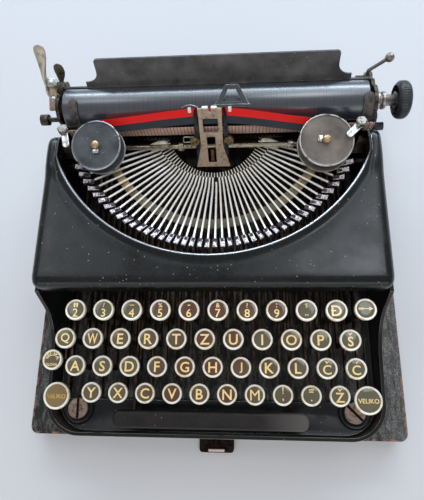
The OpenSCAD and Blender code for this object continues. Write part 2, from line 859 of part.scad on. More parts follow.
// Bent lever with a button at the right end of the carriage
module detent_lever() {
  color("#1c1b1b") {
    slab_x(end_r + 3.8, 2) difference() {
      union() {
        translate([87, rail_z + 22.5]) circle(3.4);
        polygon([[84.6, rail_z + 24.6], [88.8, rail_z + 20], [84, rail_z + 15], [80, rail_z + 18]]);
      }
      translate([87, rail_z + 22.5]) circle(1.56);
    }
    rod_x(end_r + 3, end_r + 10.4, 82, rail_z + 17, 3);
  }
}

// Drum with the spring that pulls the carriage
module mainspring_drum() {
  color("#7a6a50") difference() {
    translate([drum_x, 107, drum_z]) rotate([90, 0, 0]) cylinder(h = 13, r = 15);
    translate([drum_x, 108, drum_z]) rotate([90, 0, 0]) cylinder(h = 15, r = 3.05);
    translate([drum_x, 102, drum_z]) rotate([90, 0, 0]) difference() {
      cylinder(h = 4, r = 16);
      cylinder(h = 4, r = 13.6);
    }
  }
}

// Escape wheel with its pinion under the carriage
module escape_wheel() {
  color("#b09a5c") translate([wheel_x, 97.5, wheel_z]) rotate([90, 0, 0]) difference() {
    union() {
      cylinder(h = 1.6, r = 10);
      for (a = [0:15:345]) rotate([0, 0, a]) translate([9.4, -0.8, 0]) cube([2.2, 1.6, 1.6]);
      translate([0, 0, -3.6]) cylinder(h = 4, r = 6);
    }
    translate([0, 0, -6]) cylinder(h = 10, r = 1.56);
  }
}

base_board();
base_latch();
hold_down_screws();
machine_feet();
lower_body();
hood();
key_comb();
key_fulcrum_rod();
lever_row(1);  // key_levers_row_1
lever_row(2);  // key_levers_row_2
lever_row(3);  // key_levers_row_3
lever_row(4);  // key_levers_row_4
rim_row(1);  // key_rims_row_1
rim_row(2);  // key_rims_row_2
rim_row(3);  // key_rims_row_3
rim_row(4);  // key_rims_row_4
face_row(1);  // key_faces_row_1
face_row(2);  // key_faces_row_2
face_row(3);  // key_faces_row_3
face_row(4);  // key_faces_row_4
shift_yoke();
shift_key_tops();
shift_lock_key();
backspace_key();
space_bar();
type_segment();
segment_wire();
type_rest();
type_bars();
centre_type_bar();
centre_key();
type_guide();
guide_screws();
ribbon_vibrator();
ribbon();
spool_left();
spool_right();
spool_brackets();
reverse_lever_left();
reverse_lever_right();
ribbon_feed_shaft();
card_holder();
carriage_rail();
carriage_frame();
carriage_end_left();
carriage_end_right();
platen();
platen_shaft();
platen_knob();
paper_table();
paper_scale();
margin_rack();
paper_fingers();
feed_roller();
return_lever();
paper_release_lever();
carriage_release_lever();
detent_lever();
mainspring_drum();
escape_wheel();
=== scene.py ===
import json
from math import atan2, cos, degrees, hypot, pi, radians, sin, sqrt

import bmesh
import bpy
from mathutils import Matrix, Vector

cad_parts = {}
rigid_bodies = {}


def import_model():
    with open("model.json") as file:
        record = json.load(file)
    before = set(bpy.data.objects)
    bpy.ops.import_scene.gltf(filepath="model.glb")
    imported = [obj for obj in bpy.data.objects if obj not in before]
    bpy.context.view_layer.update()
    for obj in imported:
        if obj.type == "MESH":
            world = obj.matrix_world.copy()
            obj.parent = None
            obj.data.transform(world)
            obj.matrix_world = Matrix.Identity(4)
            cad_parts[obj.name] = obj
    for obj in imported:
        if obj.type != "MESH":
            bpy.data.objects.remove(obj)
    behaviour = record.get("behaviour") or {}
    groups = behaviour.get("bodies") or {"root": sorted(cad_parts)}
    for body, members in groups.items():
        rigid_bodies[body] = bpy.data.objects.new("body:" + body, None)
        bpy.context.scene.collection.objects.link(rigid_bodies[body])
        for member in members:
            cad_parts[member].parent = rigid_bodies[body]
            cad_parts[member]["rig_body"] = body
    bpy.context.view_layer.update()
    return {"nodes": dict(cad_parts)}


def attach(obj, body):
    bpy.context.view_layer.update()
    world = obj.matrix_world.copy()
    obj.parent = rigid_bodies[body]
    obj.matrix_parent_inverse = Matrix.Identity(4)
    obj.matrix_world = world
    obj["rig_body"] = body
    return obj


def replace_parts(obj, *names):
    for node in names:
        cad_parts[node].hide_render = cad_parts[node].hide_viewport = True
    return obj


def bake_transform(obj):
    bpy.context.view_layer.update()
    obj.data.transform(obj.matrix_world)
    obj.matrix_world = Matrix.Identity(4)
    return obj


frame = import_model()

mm = 0.001


# Case base: the bottom half of the carrying case, a board covered in black leatherette. The cloth is
# embossed with a fine pebble and glued round the edges, where handling wore it down to the tan card.
def lin(code):
    """Linear colour of an sRGB hex value."""
    parts = [int(code[i:i + 2], 16) / 255 for i in (1, 3, 5)]
    return [c / 12.92 if c < 0.04045 else ((c + 0.055) / 1.055) ** 2.4 for c in parts] + [1.0]


def join(tree, node, inputs):
    """Sets a node's inputs: a socket is linked, anything else is its value."""
    for key, value in inputs.items():
        if isinstance(value, bpy.types.NodeSocket):
            tree.links.new(value, node.inputs[key])
        else:
            node.inputs[key].default_value = value


def add(tree, kind, inputs, **settings):
    """Adds a node with its settings and links."""
    node = tree.nodes.new(kind)
    for key, value in settings.items():
        setattr(node, key, value)
    join(tree, node, inputs)
    return node


def finish(name, colour, rough, metal=0.0):
    """A new material: its node tree, its shader, and the place of a point in the frame at rest."""
    made = bpy.data.materials.new(name)
    made.use_nodes = True
    tree = made.node_tree
    tree.nodes.clear()
    shader = add(tree, "ShaderNodeBsdfPrincipled",
                 {"Base Color": lin(colour), "Roughness": rough, "Metallic": metal})
    add(tree, "ShaderNodeOutputMaterial", {"Surface": shader.outputs[0]})
    place = add(tree, "ShaderNodeTexCoord", {}).outputs["Object"]
    return made, tree, shader, place


def settle(obj, material, body, sharp=40):
    """Puts a finished mesh object in the scene, smooth but for its sharp edges, on its body."""
    bpy.context.scene.collection.objects.link(obj)
    if material is not None:
        obj.data.materials.clear()
        obj.data.materials.append(material)
    obj.data.shade_smooth()
    obj.data.set_sharp_from_angle(angle=radians(sharp))
    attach(obj, body)
    return obj


def rounded_copy(node, width, material, steps=2):
    """Copy of a CAD solid with its sharp edges rounded; the rounded faces carry the mark edge."""
    weld, flat_angle, sharp_angle = 2e-6, 0.004, 0.6
    cad = frame["nodes"][node]
    work = bmesh.new()
    work.from_mesh(cad.data)
    bmesh.ops.remove_doubles(work, verts=work.verts, dist=weld)
    bmesh.ops.dissolve_limit(work, angle_limit=flat_angle, verts=work.verts, edges=work.edges)
    sharp = [e for e in work.edges if len(e.link_faces) == 2 and e.calc_face_angle() > sharp_angle]
    mark = work.faces.layers.float.new("edge")
    made = bmesh.ops.bevel(work, geom=sharp, offset=width * mm, offset_type="OFFSET", segments=steps,
                           profile=0.5, affect="EDGES", clamp_overlap=True)
    for face in made["faces"]:
        face[mark] = 1.0
    mesh = bpy.data.meshes.new(node + "_dressed")
    work.to_mesh(mesh)
    work.free()
    obj = settle(bpy.data.objects.new(node + "_dressed", mesh), material, cad["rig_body"])
    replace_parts(obj, node)
    return obj


# Leatherette: a matt black cloth that goes grey where it is rubbed and tan along bare edges.
leatherette, tree, shader, place = finish("embossed_leatherette", "#1d1c1c", 0.6)
pebble = add(tree, "ShaderNodeTexVoronoi", {"Vector": place, "Scale": 1 / (1.2 * mm)})
drawn = add(tree, "ShaderNodeMapping", {"Vector": place, "Scale": (1.0, 0.22, 1.0)})
scuff = add(tree, "ShaderNodeTexNoise",
            {"Vector": drawn.outputs[0], "Scale": 1 / (3 * mm), "Detail": 9.0, "Roughness": 0.8})
axes = add(tree, "ShaderNodeSeparateXYZ", {"Vector": place})
# Painted light: the grey of rubbing is made stronger towards the right end, where more light falls.
painted_light_to_right = add(tree, "ShaderNodeMapRange",
               {"Value": axes.outputs[0], "From Min": 90 * mm, "From Max": 140 * mm, "To Max": 0.1})
scuffed = add(tree, "ShaderNodeMath", {0: scuff.outputs["Fac"], 1: painted_light_to_right.outputs[0]}, operation="ADD")
rubbed = add(tree, "ShaderNodeMapRange",
             {"Value": scuffed.outputs[0], "From Min": 0.46, "From Max": 0.68, "To Max": 1.0})
rub_and_painted_light_high = add(tree, "ShaderNodeMath", {0: rubbed.outputs[0], 1: pebble.outputs["Distance"]},
               operation="MULTIPLY")
cloth = add(tree, "ShaderNodeMix", {0: rub_and_painted_light_high.outputs[0], 6: lin("#1d1c1c"), 7: lin("#8c8985")},
            data_type="RGBA")
board = [v.co for v in frame["nodes"]["base_board"].data.vertices]
board_side, board_front, board_top = max(p.x for p in board), min(p.y for p in board), max(p.z for p in board)
off = add(tree, "ShaderNodeMath", {0: axes.outputs[0]}, operation="ABSOLUTE")
rim_side = add(tree, "ShaderNodeMapRange",
               {"Value": off.outputs[0], "From Min": board_side - 1.9 * mm,
                "From Max": board_side - 0.7 * mm})
rim_front = add(tree, "ShaderNodeMapRange",
                {"Value": axes.outputs[1], "From Min": board_front + 2.0 * mm,
                 "From Max": board_front + 0.8 * mm})
rim = add(tree, "ShaderNodeMath", {0: rim_side.outputs[0], 1: rim_front.outputs[0]}, operation="MAXIMUM")
chip = add(tree, "ShaderNodeTexNoise", {"Vector": place, "Scale": 1 / (5 * mm), "Detail": 6.0})
chipped = add(tree, "ShaderNodeMapRange",
              {"Value": chip.outputs["Fac"], "From Min": 0.46, "From Max": 0.58})
near_top = add(tree, "ShaderNodeMapRange",
               {"Value": axes.outputs[2], "From Min": board_top - 2.2 * mm, "From Max": board_top - 1.2 * mm})
upper_rim = add(tree, "ShaderNodeMath", {0: rim.outputs[0], 1: near_top.outputs[0]}, operation="MULTIPLY")
bare = add(tree, "ShaderNodeMath", {0: upper_rim.outputs[0], 1: chipped.outputs[0]}, operation="MULTIPLY")
cover = add(tree, "ShaderNodeMix", {0: bare.outputs[0], 6: cloth.outputs[2], 7: lin("#96694c")},
            data_type="RGBA")
grain = add(tree, "ShaderNodeBump",
            {"Strength": 0.6, "Distance": 0.25 * mm, "Height": pebble.outputs["Distance"]})
join(tree, shader, {"Base Color": cover.outputs[2], "Normal": grain.outputs[0]})
rounded_copy("base_board", 1.6, leatherette, 3)


# Lid catch: a strip of steel bent up in front of the board, with a slot for the lid's tongue.
# It is riveted to the board and has browned with age.
def stained_finish(name, plate, stain, rough, stain_mm, cover, metal=1.0):
    """Plated or bare metal, or with no metal in it old rubber, card and felt: stained, finely scratched."""
    made, tree, shader, place = finish(name, plate, rough, metal)
    patch = add(tree, "ShaderNodeTexNoise",
                {"Vector": place, "Scale": 1 / (stain_mm * mm), "Detail": 7.0, "Roughness": 0.65})
    stained = add(tree, "ShaderNodeMapRange",
                  {"Value": patch.outputs["Fac"], "From Min": 0.62 - cover * 0.3,
                   "From Max": 0.72 - cover * 0.2})
    tint = add(tree, "ShaderNodeMix", {0: stained.outputs[0], 6: lin(plate), 7: lin(stain)},
               data_type="RGBA")
    fine = add(tree, "ShaderNodeTexNoise",
               {"Vector": place, "Scale": 1 / (0.5 * mm), "Detail": 4.0})
    dull = add(tree, "ShaderNodeMapRange",
               {"Value": patch.outputs["Fac"], "From Min": 0.3, "From Max": 0.7,
                "To Min": max(0.08, rough - 0.1), "To Max": min(0.95, rough + 0.2)})
    relief = add(tree, "ShaderNodeBump",
                 {"Strength": 0.25, "Distance": 0.05 * mm, "Height": fine.outputs["Fac"]})
    join(tree, shader, {"Base Color": tint.outputs[2], "Roughness": dull.outputs[0],
                        "Normal": relief.outputs[0]})
    return made


# Browned steel: dark, half bright, with rust-brown patches a few millimetres wide.
browned_steel = stained_finish("browned_steel", "#3f352f", "#261b15", 0.42, 4, 0.5)
latch = rounded_copy("base_latch", 0.4, browned_steel)
# Rubbed steel on the tongue and along the front lip: bright and slightly pink.
latch.data.materials.append(stained_finish("rubbed_tongue_steel", "#f1dfd6", "#b08d7c", 0.3, 2, 0.3, 0.4))
tongue_z, tongue_y, lip_y = 7.8, -148.9, -151.9
for face in latch.data.polygons:
    on_tongue = face.center.z > tongue_z * mm and face.center.y < tongue_y * mm
    if on_tongue or face.center.y < lip_y * mm:
        face.material_index = 1

# Hold-down screws: two slotted steel screws through the floor of the machine into the board.
# Their plating is gone in patches and shows coppery.
screw_steel = stained_finish("coppered_screw_steel", "#b39a8a", "#735245", 0.42, 3, 0.42, 0.45)
screws = rounded_copy("hold_down_screws", 0.3, screw_steel)
# Packed dirt with painted shade: dull and almost black, so that the slots read as lines.
slot_dirt_and_shade = stained_finish("dirt_and_painted_shade_in_the_slots", "#1b1411", "#0d0a09", 0.85, 2, 0.4, 0.0)
screws.data.materials.append(slot_dirt_and_shade)
screw_x, screw_y = 103.7, -120.5
head_top, head_r, slot_edge = 30.4, 7.2, 0.35
for face in screws.data.polygons:
    off_axis = hypot(abs(face.center.x / mm) - screw_x, face.center.y / mm - screw_y)
    if face.center.z < (head_top - slot_edge) * mm and off_axis < head_r:
        face.material_index = 1


# Feet: four rubber discs between the machine and the board, held by its weight and the two screws.
# Old rubber is matt and nearly black, with a grey bloom.
def dress_solids(material, *nodes):
    """Gives its finish to CAD solids that are shown as they are."""
    for node in nodes:
        frame["nodes"][node].data.materials.clear()
        frame["nodes"][node].data.materials.append(material)


foot_rubber = stained_finish("bloomed_rubber", "#1d1d1d", "#303030", 0.8, 6, 0.4, 0.0)
dress_solids(foot_rubber, "machine_feet")


# Lower body: pressed steel tray with the side walls and the back, dipped and baked in black enamel.
# Its rim is rubbed to bright metal along the front.
def worn_enamel(name, coat, dust, bare, rough, haze_mm, haze=0.5, specks=0.9, edge_wear=0.5):
    """Baked enamel or a glossy moulding: hazed in patches by dust (on the black spool by a painted sky
    reflection), with specks, bare on worn edges.
    """
    made, tree, shader, place = finish(name, coat, rough)
    cloud = add(tree, "ShaderNodeTexNoise",
                {"Vector": place, "Scale": 1 / (haze_mm * mm), "Detail": 7.0, "Roughness": 0.62})
    film = add(tree, "ShaderNodeMapRange",
               {"Value": cloud.outputs["Fac"], "From Min": 0.35, "From Max": 0.7, "To Max": haze})
    hazed_and_sheen = add(tree, "ShaderNodeMix", {0: film.outputs[0], 6: lin(coat), 7: lin(dust)}, data_type="RGBA")
    cell = add(tree, "ShaderNodeTexVoronoi", {"Vector": place, "Scale": 1 / (2.2 * mm)})
    near = add(tree, "ShaderNodeMath", {0: cell.outputs["Distance"], 1: 0.13}, operation="LESS_THAN")
    chance = add(tree, "ShaderNodeSeparateColor", {"Color": cell.outputs["Color"]})
    picked = add(tree, "ShaderNodeMath", {0: chance.outputs[0], 1: specks}, operation="GREATER_THAN")
    speck = add(tree, "ShaderNodeMath", {0: near.outputs[0], 1: picked.outputs[0]}, operation="MULTIPLY")
    grit = add(tree, "ShaderNodeTexNoise", {"Vector": place, "Scale": 1 / (0.9 * mm), "Detail": 3.0})
    gritty = add(tree, "ShaderNodeMapRange",
                 {"Value": grit.outputs["Fac"], "From Min": 0.52, "From Max": 0.72, "To Max": haze * 0.22})
    grey = add(tree, "ShaderNodeMix", {0: gritty.outputs[0], 6: hazed_and_sheen.outputs[2], 7: lin("#6c6e68")},
               data_type="RGBA")
    dusty = add(tree, "ShaderNodeMix", {0: speck.outputs[0], 6: grey.outputs[2], 7: lin("#a4a7a1")},
                data_type="RGBA")
    edge = add(tree, "ShaderNodeAttribute", {}, attribute_name="edge")
    chip = add(tree, "ShaderNodeTexNoise", {"Vector": place, "Scale": 1 / (6 * mm), "Detail": 8.0})
    chipped = add(tree, "ShaderNodeMapRange",
                  {"Value": chip.outputs["Fac"], "From Min": 0.56 - edge_wear * 0.25,
                   "From Max": 0.66 - edge_wear * 0.25})
    worn = add(tree, "ShaderNodeMath", {0: edge.outputs["Fac"], 1: chipped.outputs[0]},
               operation="MULTIPLY")
    skin_tint = add(tree, "ShaderNodeMix", {0: worn.outputs[0], 6: dusty.outputs[2], 7: lin(bare)},
                    data_type="RGBA")
    dull = add(tree, "ShaderNodeMapRange",
               {"Value": cloud.outputs["Fac"], "From Min": 0.3, "From Max": 0.7,
                "To Min": rough - 0.06, "To Max": rough + 0.22})
    peel = add(tree, "ShaderNodeTexNoise", {"Vector": place, "Scale": 1 / (1.5 * mm), "Detail": 2.0})
    relief = add(tree, "ShaderNodeBump",
                 {"Strength": 0.12, "Distance": 0.06 * mm, "Height": peel.outputs["Fac"]})
    join(tree, shader, {"Base Color": skin_tint.outputs[2], "Roughness": dull.outputs[0],
                        "Metallic": worn.outputs[0], "Normal": relief.outputs[0]})
    return made


# Black baked enamel: a deep black with a broad soft shine and bright bare steel on the rim.
body_enamel = worn_enamel("black_baked_enamel", "#0c0d0e", "#232426", "#c9bda9", 0.28, 30, 0.4, 0.9, 1.0)
rounded_copy("lower_body", 0.8, body_enamel)


def skin(rings, loop=True, caps=True):
    """Shell over a row of rings with the same number of points: its points and faces."""
    count = len(rings[0])
    faces = []
    for k in range(len(rings) - 1):
        for i in range(count if loop else count - 1):
            j = (i + 1) % count
            faces.append((k * count + i, k * count + j, (k + 1) * count + j, (k + 1) * count + i))
    if caps:
        faces.append(tuple(range(count)))
        faces.append(tuple((len(rings) - 1) * count + i for i in reversed(range(count))))
    return [p for ring in rings for p in ring], faces


def piece(name, shells, material, body, sharp=40):
    """One object made of shells in mm."""
    points = []
    faces = []
    for shell_points, shell_faces in shells:
        start = len(points)
        points += [Vector(p) * mm for p in shell_points]
        faces += [[start + i for i in face] for face in shell_faces]
    mesh = bpy.data.meshes.new(name)
    mesh.from_pydata(points, [], faces)
    work = bmesh.new()
    work.from_mesh(mesh)
    bmesh.ops.recalc_face_normals(work, faces=work.faces)
    work.to_mesh(mesh)
    work.free()
    return settle(bpy.data.objects.new(name, mesh), material, body, sharp)


def turned(profile, at, steps=40):
    """Shell of a lathe-turned form: profile of radius and height, about the Z axis of a matrix."""
    rings = [[at @ Vector((r * cos(2 * pi * k / steps), r * sin(2 * pi * k / steps), z))
              for k in range(steps)] for r, z in profile]
    return skin(rings)


# A rounded collar is pressed up round each screw; it ends where the floor is open for the levers.
collar = [(8.3, 27.0), (8.5, 27.9), (9.3, 28.5), (10.8, 28.6), (11.6, 28.0), (11.9, 27.0)]
collar_first, collar_last, collar_steps = 146, 394, 36
collars = []
for side in (-1, 1):
    sweep = [radians(collar_first + (collar_last - collar_first) * k / collar_steps)
             for k in range(collar_steps + 1)]
    collars.append(skin([[(side * screw_x + r * cos(a), screw_y + r * sin(a), z) for r, z in collar]
                         for a in sweep]))
piece("screw_collars", collars, body_enamel, "frame")

# Hood: pressed steel cover over the type basket, its crescent opening rolled to a bead and its two arms
# drawn up into round ridges. It is enamelled black and greyed by dust and fine scratches.
hood_enamel = worn_enamel("dusty_black_enamel", "#090a0b", "#222421", "#f2f4f8", 0.2, 45, 0.4, 0.86, 1.4)
half_width = 121.5
hood_front = -42.0
hood_back = 72.0
hood_top = 105.0
hood_sill = 88.0
sheet_t = 1.6
wall_deep = 9.0
back_round = 9.0
opening_r = 118.5
opening_y = 98.0
arm_inside = 109.5
arm_start = opening_y - sqrt(opening_r ** 2 - arm_inside ** 2)
corner = 9.0
edge_r = 7.0
side_lean = 2.4
bead = [(0.0, 0.3), (0.25, 0.95), (0.8, 1.4), (1.6, 1.45), (2.8, 0.9), (4.2, 0.1), (5.6, -0.35), (7.2, -0.3),
        (9.0, 0.0)]
ridge_y = 56.0
ridge_half = 16.0
ridge_h = 2.4


def outline():
    """Outer edge of the hood in plan: points and outward directions, from the left arm to the right."""
    line = [(-half_width, hood_back - d, -1.0, 0.0) for d in (0, 0.7, 2, 4, 6.5, 9, 12, 15, 18)]
    line += [(-half_width, arm_start - d, -1.0, 0.0) for d in range(0, 84, 4)]
    for k in range(9):
        a = pi + k * pi / 16
        line.append((-half_width + corner + corner * cos(a), hood_front + corner + corner * sin(a),
                     cos(a), sin(a)))
    front = half_width - corner
    line += [(-front + front * k / 16, hood_front, 0.0, -1.0) for k in range(1, 16)]
    return line + [(0.0, hood_front, 0.0, -1.0)] + [(-x, y, -a, b) for x, y, a, b in reversed(line)]


def opening_at(x, y):
    """Point of the opening's edge that faces a point of the outline, and the direction to the sheet."""
    if y > arm_start:
        side = 1.0 if x > 0 else -1.0
        return side * arm_inside, y, side, 0.0
    a = atan2(y - arm_start, x)
    drop = opening_y - arm_start
    reach = sin(a) * drop + sqrt(opening_r ** 2 - (cos(a) * drop) ** 2)
    px, py = reach * cos(a), arm_start + reach * sin(a)
    out = Vector((px, py - opening_y)).normalized()
    return px, py, out.x, out.y


def hood_section(x, y, nx, ny):
    """Section of the hood from the wall of the opening over the bead to the sill."""
    px, py, mx, my = opening_at(x, y)
    wide = hypot(x - px, y - py)
    lean = side_lean * abs(nx)
    squeeze = min(1.0, (wide - edge_r - lean) / (bead[-1][0] + 0.5))
    section = [(px, py, hood_top - wall_deep), (px, py, hood_top - 2.0)]
    section += [(px + mx * s * squeeze, py + my * s * squeeze, hood_top + z) for s, z in bead]
    inner = section[-1]
    shoulder = (x - nx * (edge_r + lean), y - ny * edge_r, hood_top)
    for share in (0.2, 0.4, 0.6, 0.8):
        section.append(tuple(i + (o - i) * share for i, o in zip(inner, shoulder)))
    for k in range(7):
        a = k * pi / 12
        inset = edge_r * (1 - sin(a))
        section.append((x - nx * (inset + lean), y - ny * inset, hood_top - edge_r * (1 - cos(a))))
    section += [(x, y, hood_sill + 2.0), (x, y, hood_sill)]
    if y > ridge_y - ridge_half:
        swell = ridge_h * sqrt(max(0.0, 1 - ((y - ridge_y) / ridge_half) ** 2))
        middle = (abs(px) + abs(x)) / 2
        reach = (abs(x) - abs(px)) / 2
        section = [(a, b, c + swell * sqrt(max(0.0, 1 - ((abs(a) - middle) / reach) ** 2)))
                   if c > hood_sill + 3 else (a, b, c) for a, b, c in section]
    if y > hood_back - back_round:
        fall = back_round - sqrt(max(0.0, back_round ** 2 - (y - hood_back + back_round) ** 2))
        share = (hood_top - fall - hood_sill) / (hood_top - hood_sill)
        section = [(a, b, hood_sill + (c - hood_sill) * share) for a, b, c in section]
    return section


stations = outline()
hood = piece("hood_pressing", [skin([hood_section(*s) for s in stations], loop=False)], hood_enamel,
             "frame", 50)
# The bead is rubbed bare on its top; its bare metal is also a painted highlight, graded brighter on the right
# than on the left.
bead_bare = {3: 1.0, 4: 0.8}
bead_highlight_least, bead_highlight_middle, bead_highlight_reach = 0.45, 0.95, 120
mark = hood.data.attributes.new("edge", "FLOAT", "POINT")
section_points = len(hood_section(*stations[0]))
for i in range(len(hood.data.vertices)):
    rubbed = min(1.0, max(bead_highlight_least, bead_highlight_middle + hood.data.vertices[i].co.x / (bead_highlight_reach * mm)))
    mark.data[i].value = bead_bare.get(i % section_points, 0.0) * rubbed
sheet = hood.modifiers.new("sheet", "SOLIDIFY")
sheet.thickness = sheet_t * mm
sheet.offset = -1.0
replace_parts(hood, "hood")

# Keyboard works: comb, fulcrum rod and flat levers cut from strip steel, browned by age.
# They lie in the dark under the keys and show as thin brown lines.
lever_steel = stained_finish("aged_strip_steel", "#6f5a48", "#2c211a", 0.45, 9, 0.6)
dress_solids(lever_steel, "key_comb", "key_fulcrum_rod", "key_levers_row_1", "key_levers_row_2",
             "key_levers_row_3", "key_levers_row_4", "shift_yoke")

# Key tops: a nickel ring crimped over a glass disc with a printed card below it, on a pressed cup.
# The cards have browned, more so in the middle of the board; letters and rings stay bright.

# Nickel plate on brass: warm white and bright, dulled yellow in small patches.
ring_nickel = stained_finish("yellowed_nickel_plate", "#fbf5e6", "#e2d1a8", 0.36, 5, 0.4, 0.35)
row_x = [-88.98, -98.22, -93.37, -83.98]
row_count = [10, 11, 11, 10]
key_pitch = 19.05
row_step = 17.62
row_rise = 10.65
front_row_y = -108.24
front_row_z = 61.87
key_r = 7.0
shift_r = 9.3
cup_deep = 4.0
print_down = 0.28

# Printed card under glass: olive to red-brown, shiny because of the glass on top of it.
card, tree, shader, place = finish("browned_card_under_glass", "#5d5641", 0.5)
spot = add(tree, "ShaderNodeTexNoise", {"Vector": place, "Scale": 1 / (22 * mm), "Detail": 2.0})
axes = add(tree, "ShaderNodeSeparateXYZ", {"Vector": place})
off = add(tree, "ShaderNodeMath", {0: axes.outputs[0]}, operation="ABSOLUTE")
centre = add(tree, "ShaderNodeMapRange",
             {"Value": off.outputs[0], "From Min": 15 * mm, "From Max": 75 * mm,
              "To Min": 0.28, "To Max": -0.1})
warm = add(tree, "ShaderNodeMath", {0: spot.outputs["Fac"], 1: centre.outputs[0]}, operation="ADD")
browned = add(tree, "ShaderNodeMapRange", {"Value": warm.outputs[0], "From Min": 0.45, "From Max": 0.85})
tint = add(tree, "ShaderNodeMix", {0: browned.outputs[0], 6: lin("#5f5943"), 7: lin("#5c3019")},
           data_type="RGBA")
fibre = add(tree, "ShaderNodeTexNoise", {"Vector": place, "Scale": 1 / (0.6 * mm), "Detail": 4.0})
fleck = add(tree, "ShaderNodeMapRange",
            {"Value": fibre.outputs["Fac"], "From Min": 0.3, "From Max": 0.7, "To Max": 0.35})
mottled = add(tree, "ShaderNodeMix", {0: fleck.outputs[0], 6: tint.outputs[2], 7: lin("#3d3828")},
              data_type="RGBA")
join(tree, shader, {"Base Color": mottled.outputs[2], "Coat Weight": 1.0, "Coat Roughness": 0.06})

# Printed letters: cream to gold ink under the same glass.
ink, tree, shader, place = finish("gold_cream_print", "#f6da92", 0.5)
fade = add(tree, "ShaderNodeTexNoise", {"Vector": place, "Scale": 1 / (9 * mm), "Detail": 3.0})
faded = add(tree, "ShaderNodeMix", {0: fade.outputs["Fac"], 6: lin("#ffe9ae"), 7: lin("#efc368")},
            data_type="RGBA")
join(tree, shader, {"Base Color": faded.outputs[2], "Coat Weight": 1.0, "Coat Roughness": 0.06})


def lettering(text, x, y, z, tall, bold=0.13, turn=0.0):
    """Flat shell of a word with its middle at a point, scaled to a height, or if that is negative by it."""
    type_size, widest, least = 10, 7.0, 0.01
    curve = bpy.data.curves.new("legend", "FONT")
    curve.body = text
    curve.size = type_size * mm
    curve.offset = bold * mm
    curve.resolution_u = 3
    holder = bpy.data.objects.new("legend", curve)
    bpy.context.scene.collection.objects.link(holder)
    mesh = bpy.data.meshes.new_from_object(holder)
    bpy.data.objects.remove(holder)
    flat = [v.co / mm for v in mesh.vertices]
    low = Vector((min(p.x for p in flat), min(p.y for p in flat), 0))
    high = Vector((max(p.x for p in flat), max(p.y for p in flat), 0))
    middle = (low + high) / 2
    scale = tall / max(high.y - low.y, least) if tall > 0 else -tall
    spin = Matrix.Translation((x, y, z)) @ Matrix.Rotation(turn, 4, "Z")
    narrow = min(1.0, widest / max((high.x - low.x) * scale, least)) if len(text) == 1 else 1.0
    points = [spin @ Vector(((p.x - middle.x) * scale * narrow, (p.y - middle.y) * scale, 0)) for p in flat]
    return points, [tuple(f.vertices) for f in mesh.polygons]


def ring_shell(x, y, z, r):
    """Cup and crimped ring of a key top."""
    profile = [(r - 4.5, -cup_deep), (r - 0.8, -cup_deep), (r - 0.15, -3.1), (r, -1.2), (r - 0.08, -0.4),
               (r - 0.35, -0.05), (r - 0.9, 0.0), (r - 1.35, -0.12), (r - 1.5, -0.4), (r - 1.55, -0.55)]
    return turned(profile, Matrix.Translation((x, y, z)))


def disc_shell(x, y, z, r):
    """Slightly domed glass with the card right under it."""
    profile = [(r - 1.3, -1.4), (r - 1.3, -0.55), (r - 1.8, -0.42), (r * 0.5, -0.36), (0.05, -0.34)]
    return turned(profile, Matrix.Translation((x, y, z)))


def lever_shell(x, y, z):
    """Flat lever from the fulcrum rod to the key, with its upright stem."""
    low, high, rod_y, stem, half_t = 34.0, 40.0, 79.2, 2, 0.7
    side = [(y - stem, low), (rod_y, low), (rod_y, high), (y + stem, high), (y + stem, z - cup_deep),
            (y - stem, z - cup_deep)]
    return skin([[(x + d, a, b) for a, b in side] for d in (-half_t, half_t)])


def marks(text, x, y, z):
    """Legend of one key: one letter, or an upper and a lower sign."""
    letter_bold, upper_bold, lower_bold = 0.14, 0.16, 0.07
    upper_y, upper_tall, lower_tall = 3.1, 3.0, 5.4
    up = z - print_down
    if isinstance(text, str):
        plain, accent = accented.get(text, (text, None))
        drop, tall = (0.2, 6.9) if accent is None or text == "Đ" else (0.9, 6.3)
        drawn = [lettering(plain, x, y - drop, up, tall, 0.0 if plain == "M" else letter_bold)]
        if accent:
            drawn.append(([(x + a, y + b, up + 0.02) for a, b in accent], [tuple(range(len(accent)))]))
        return drawn
    upper, lower = text
    tall = {"..": -0.6, ",": -0.68, ".": -0.68, "_": -0.6, "-": -0.6, ":": 2.9, "!": 4.3, "=": 2.1}
    high = lettering(upper, x, y + upper_y, up, tall.get(upper, upper_tall), upper_bold)
    lower_y = y - 2.0 if lower.isdigit() else y - 3.0
    return [high, lettering(lower, x, lower_y, up, tall.get(lower, lower_tall), lower_bold)]


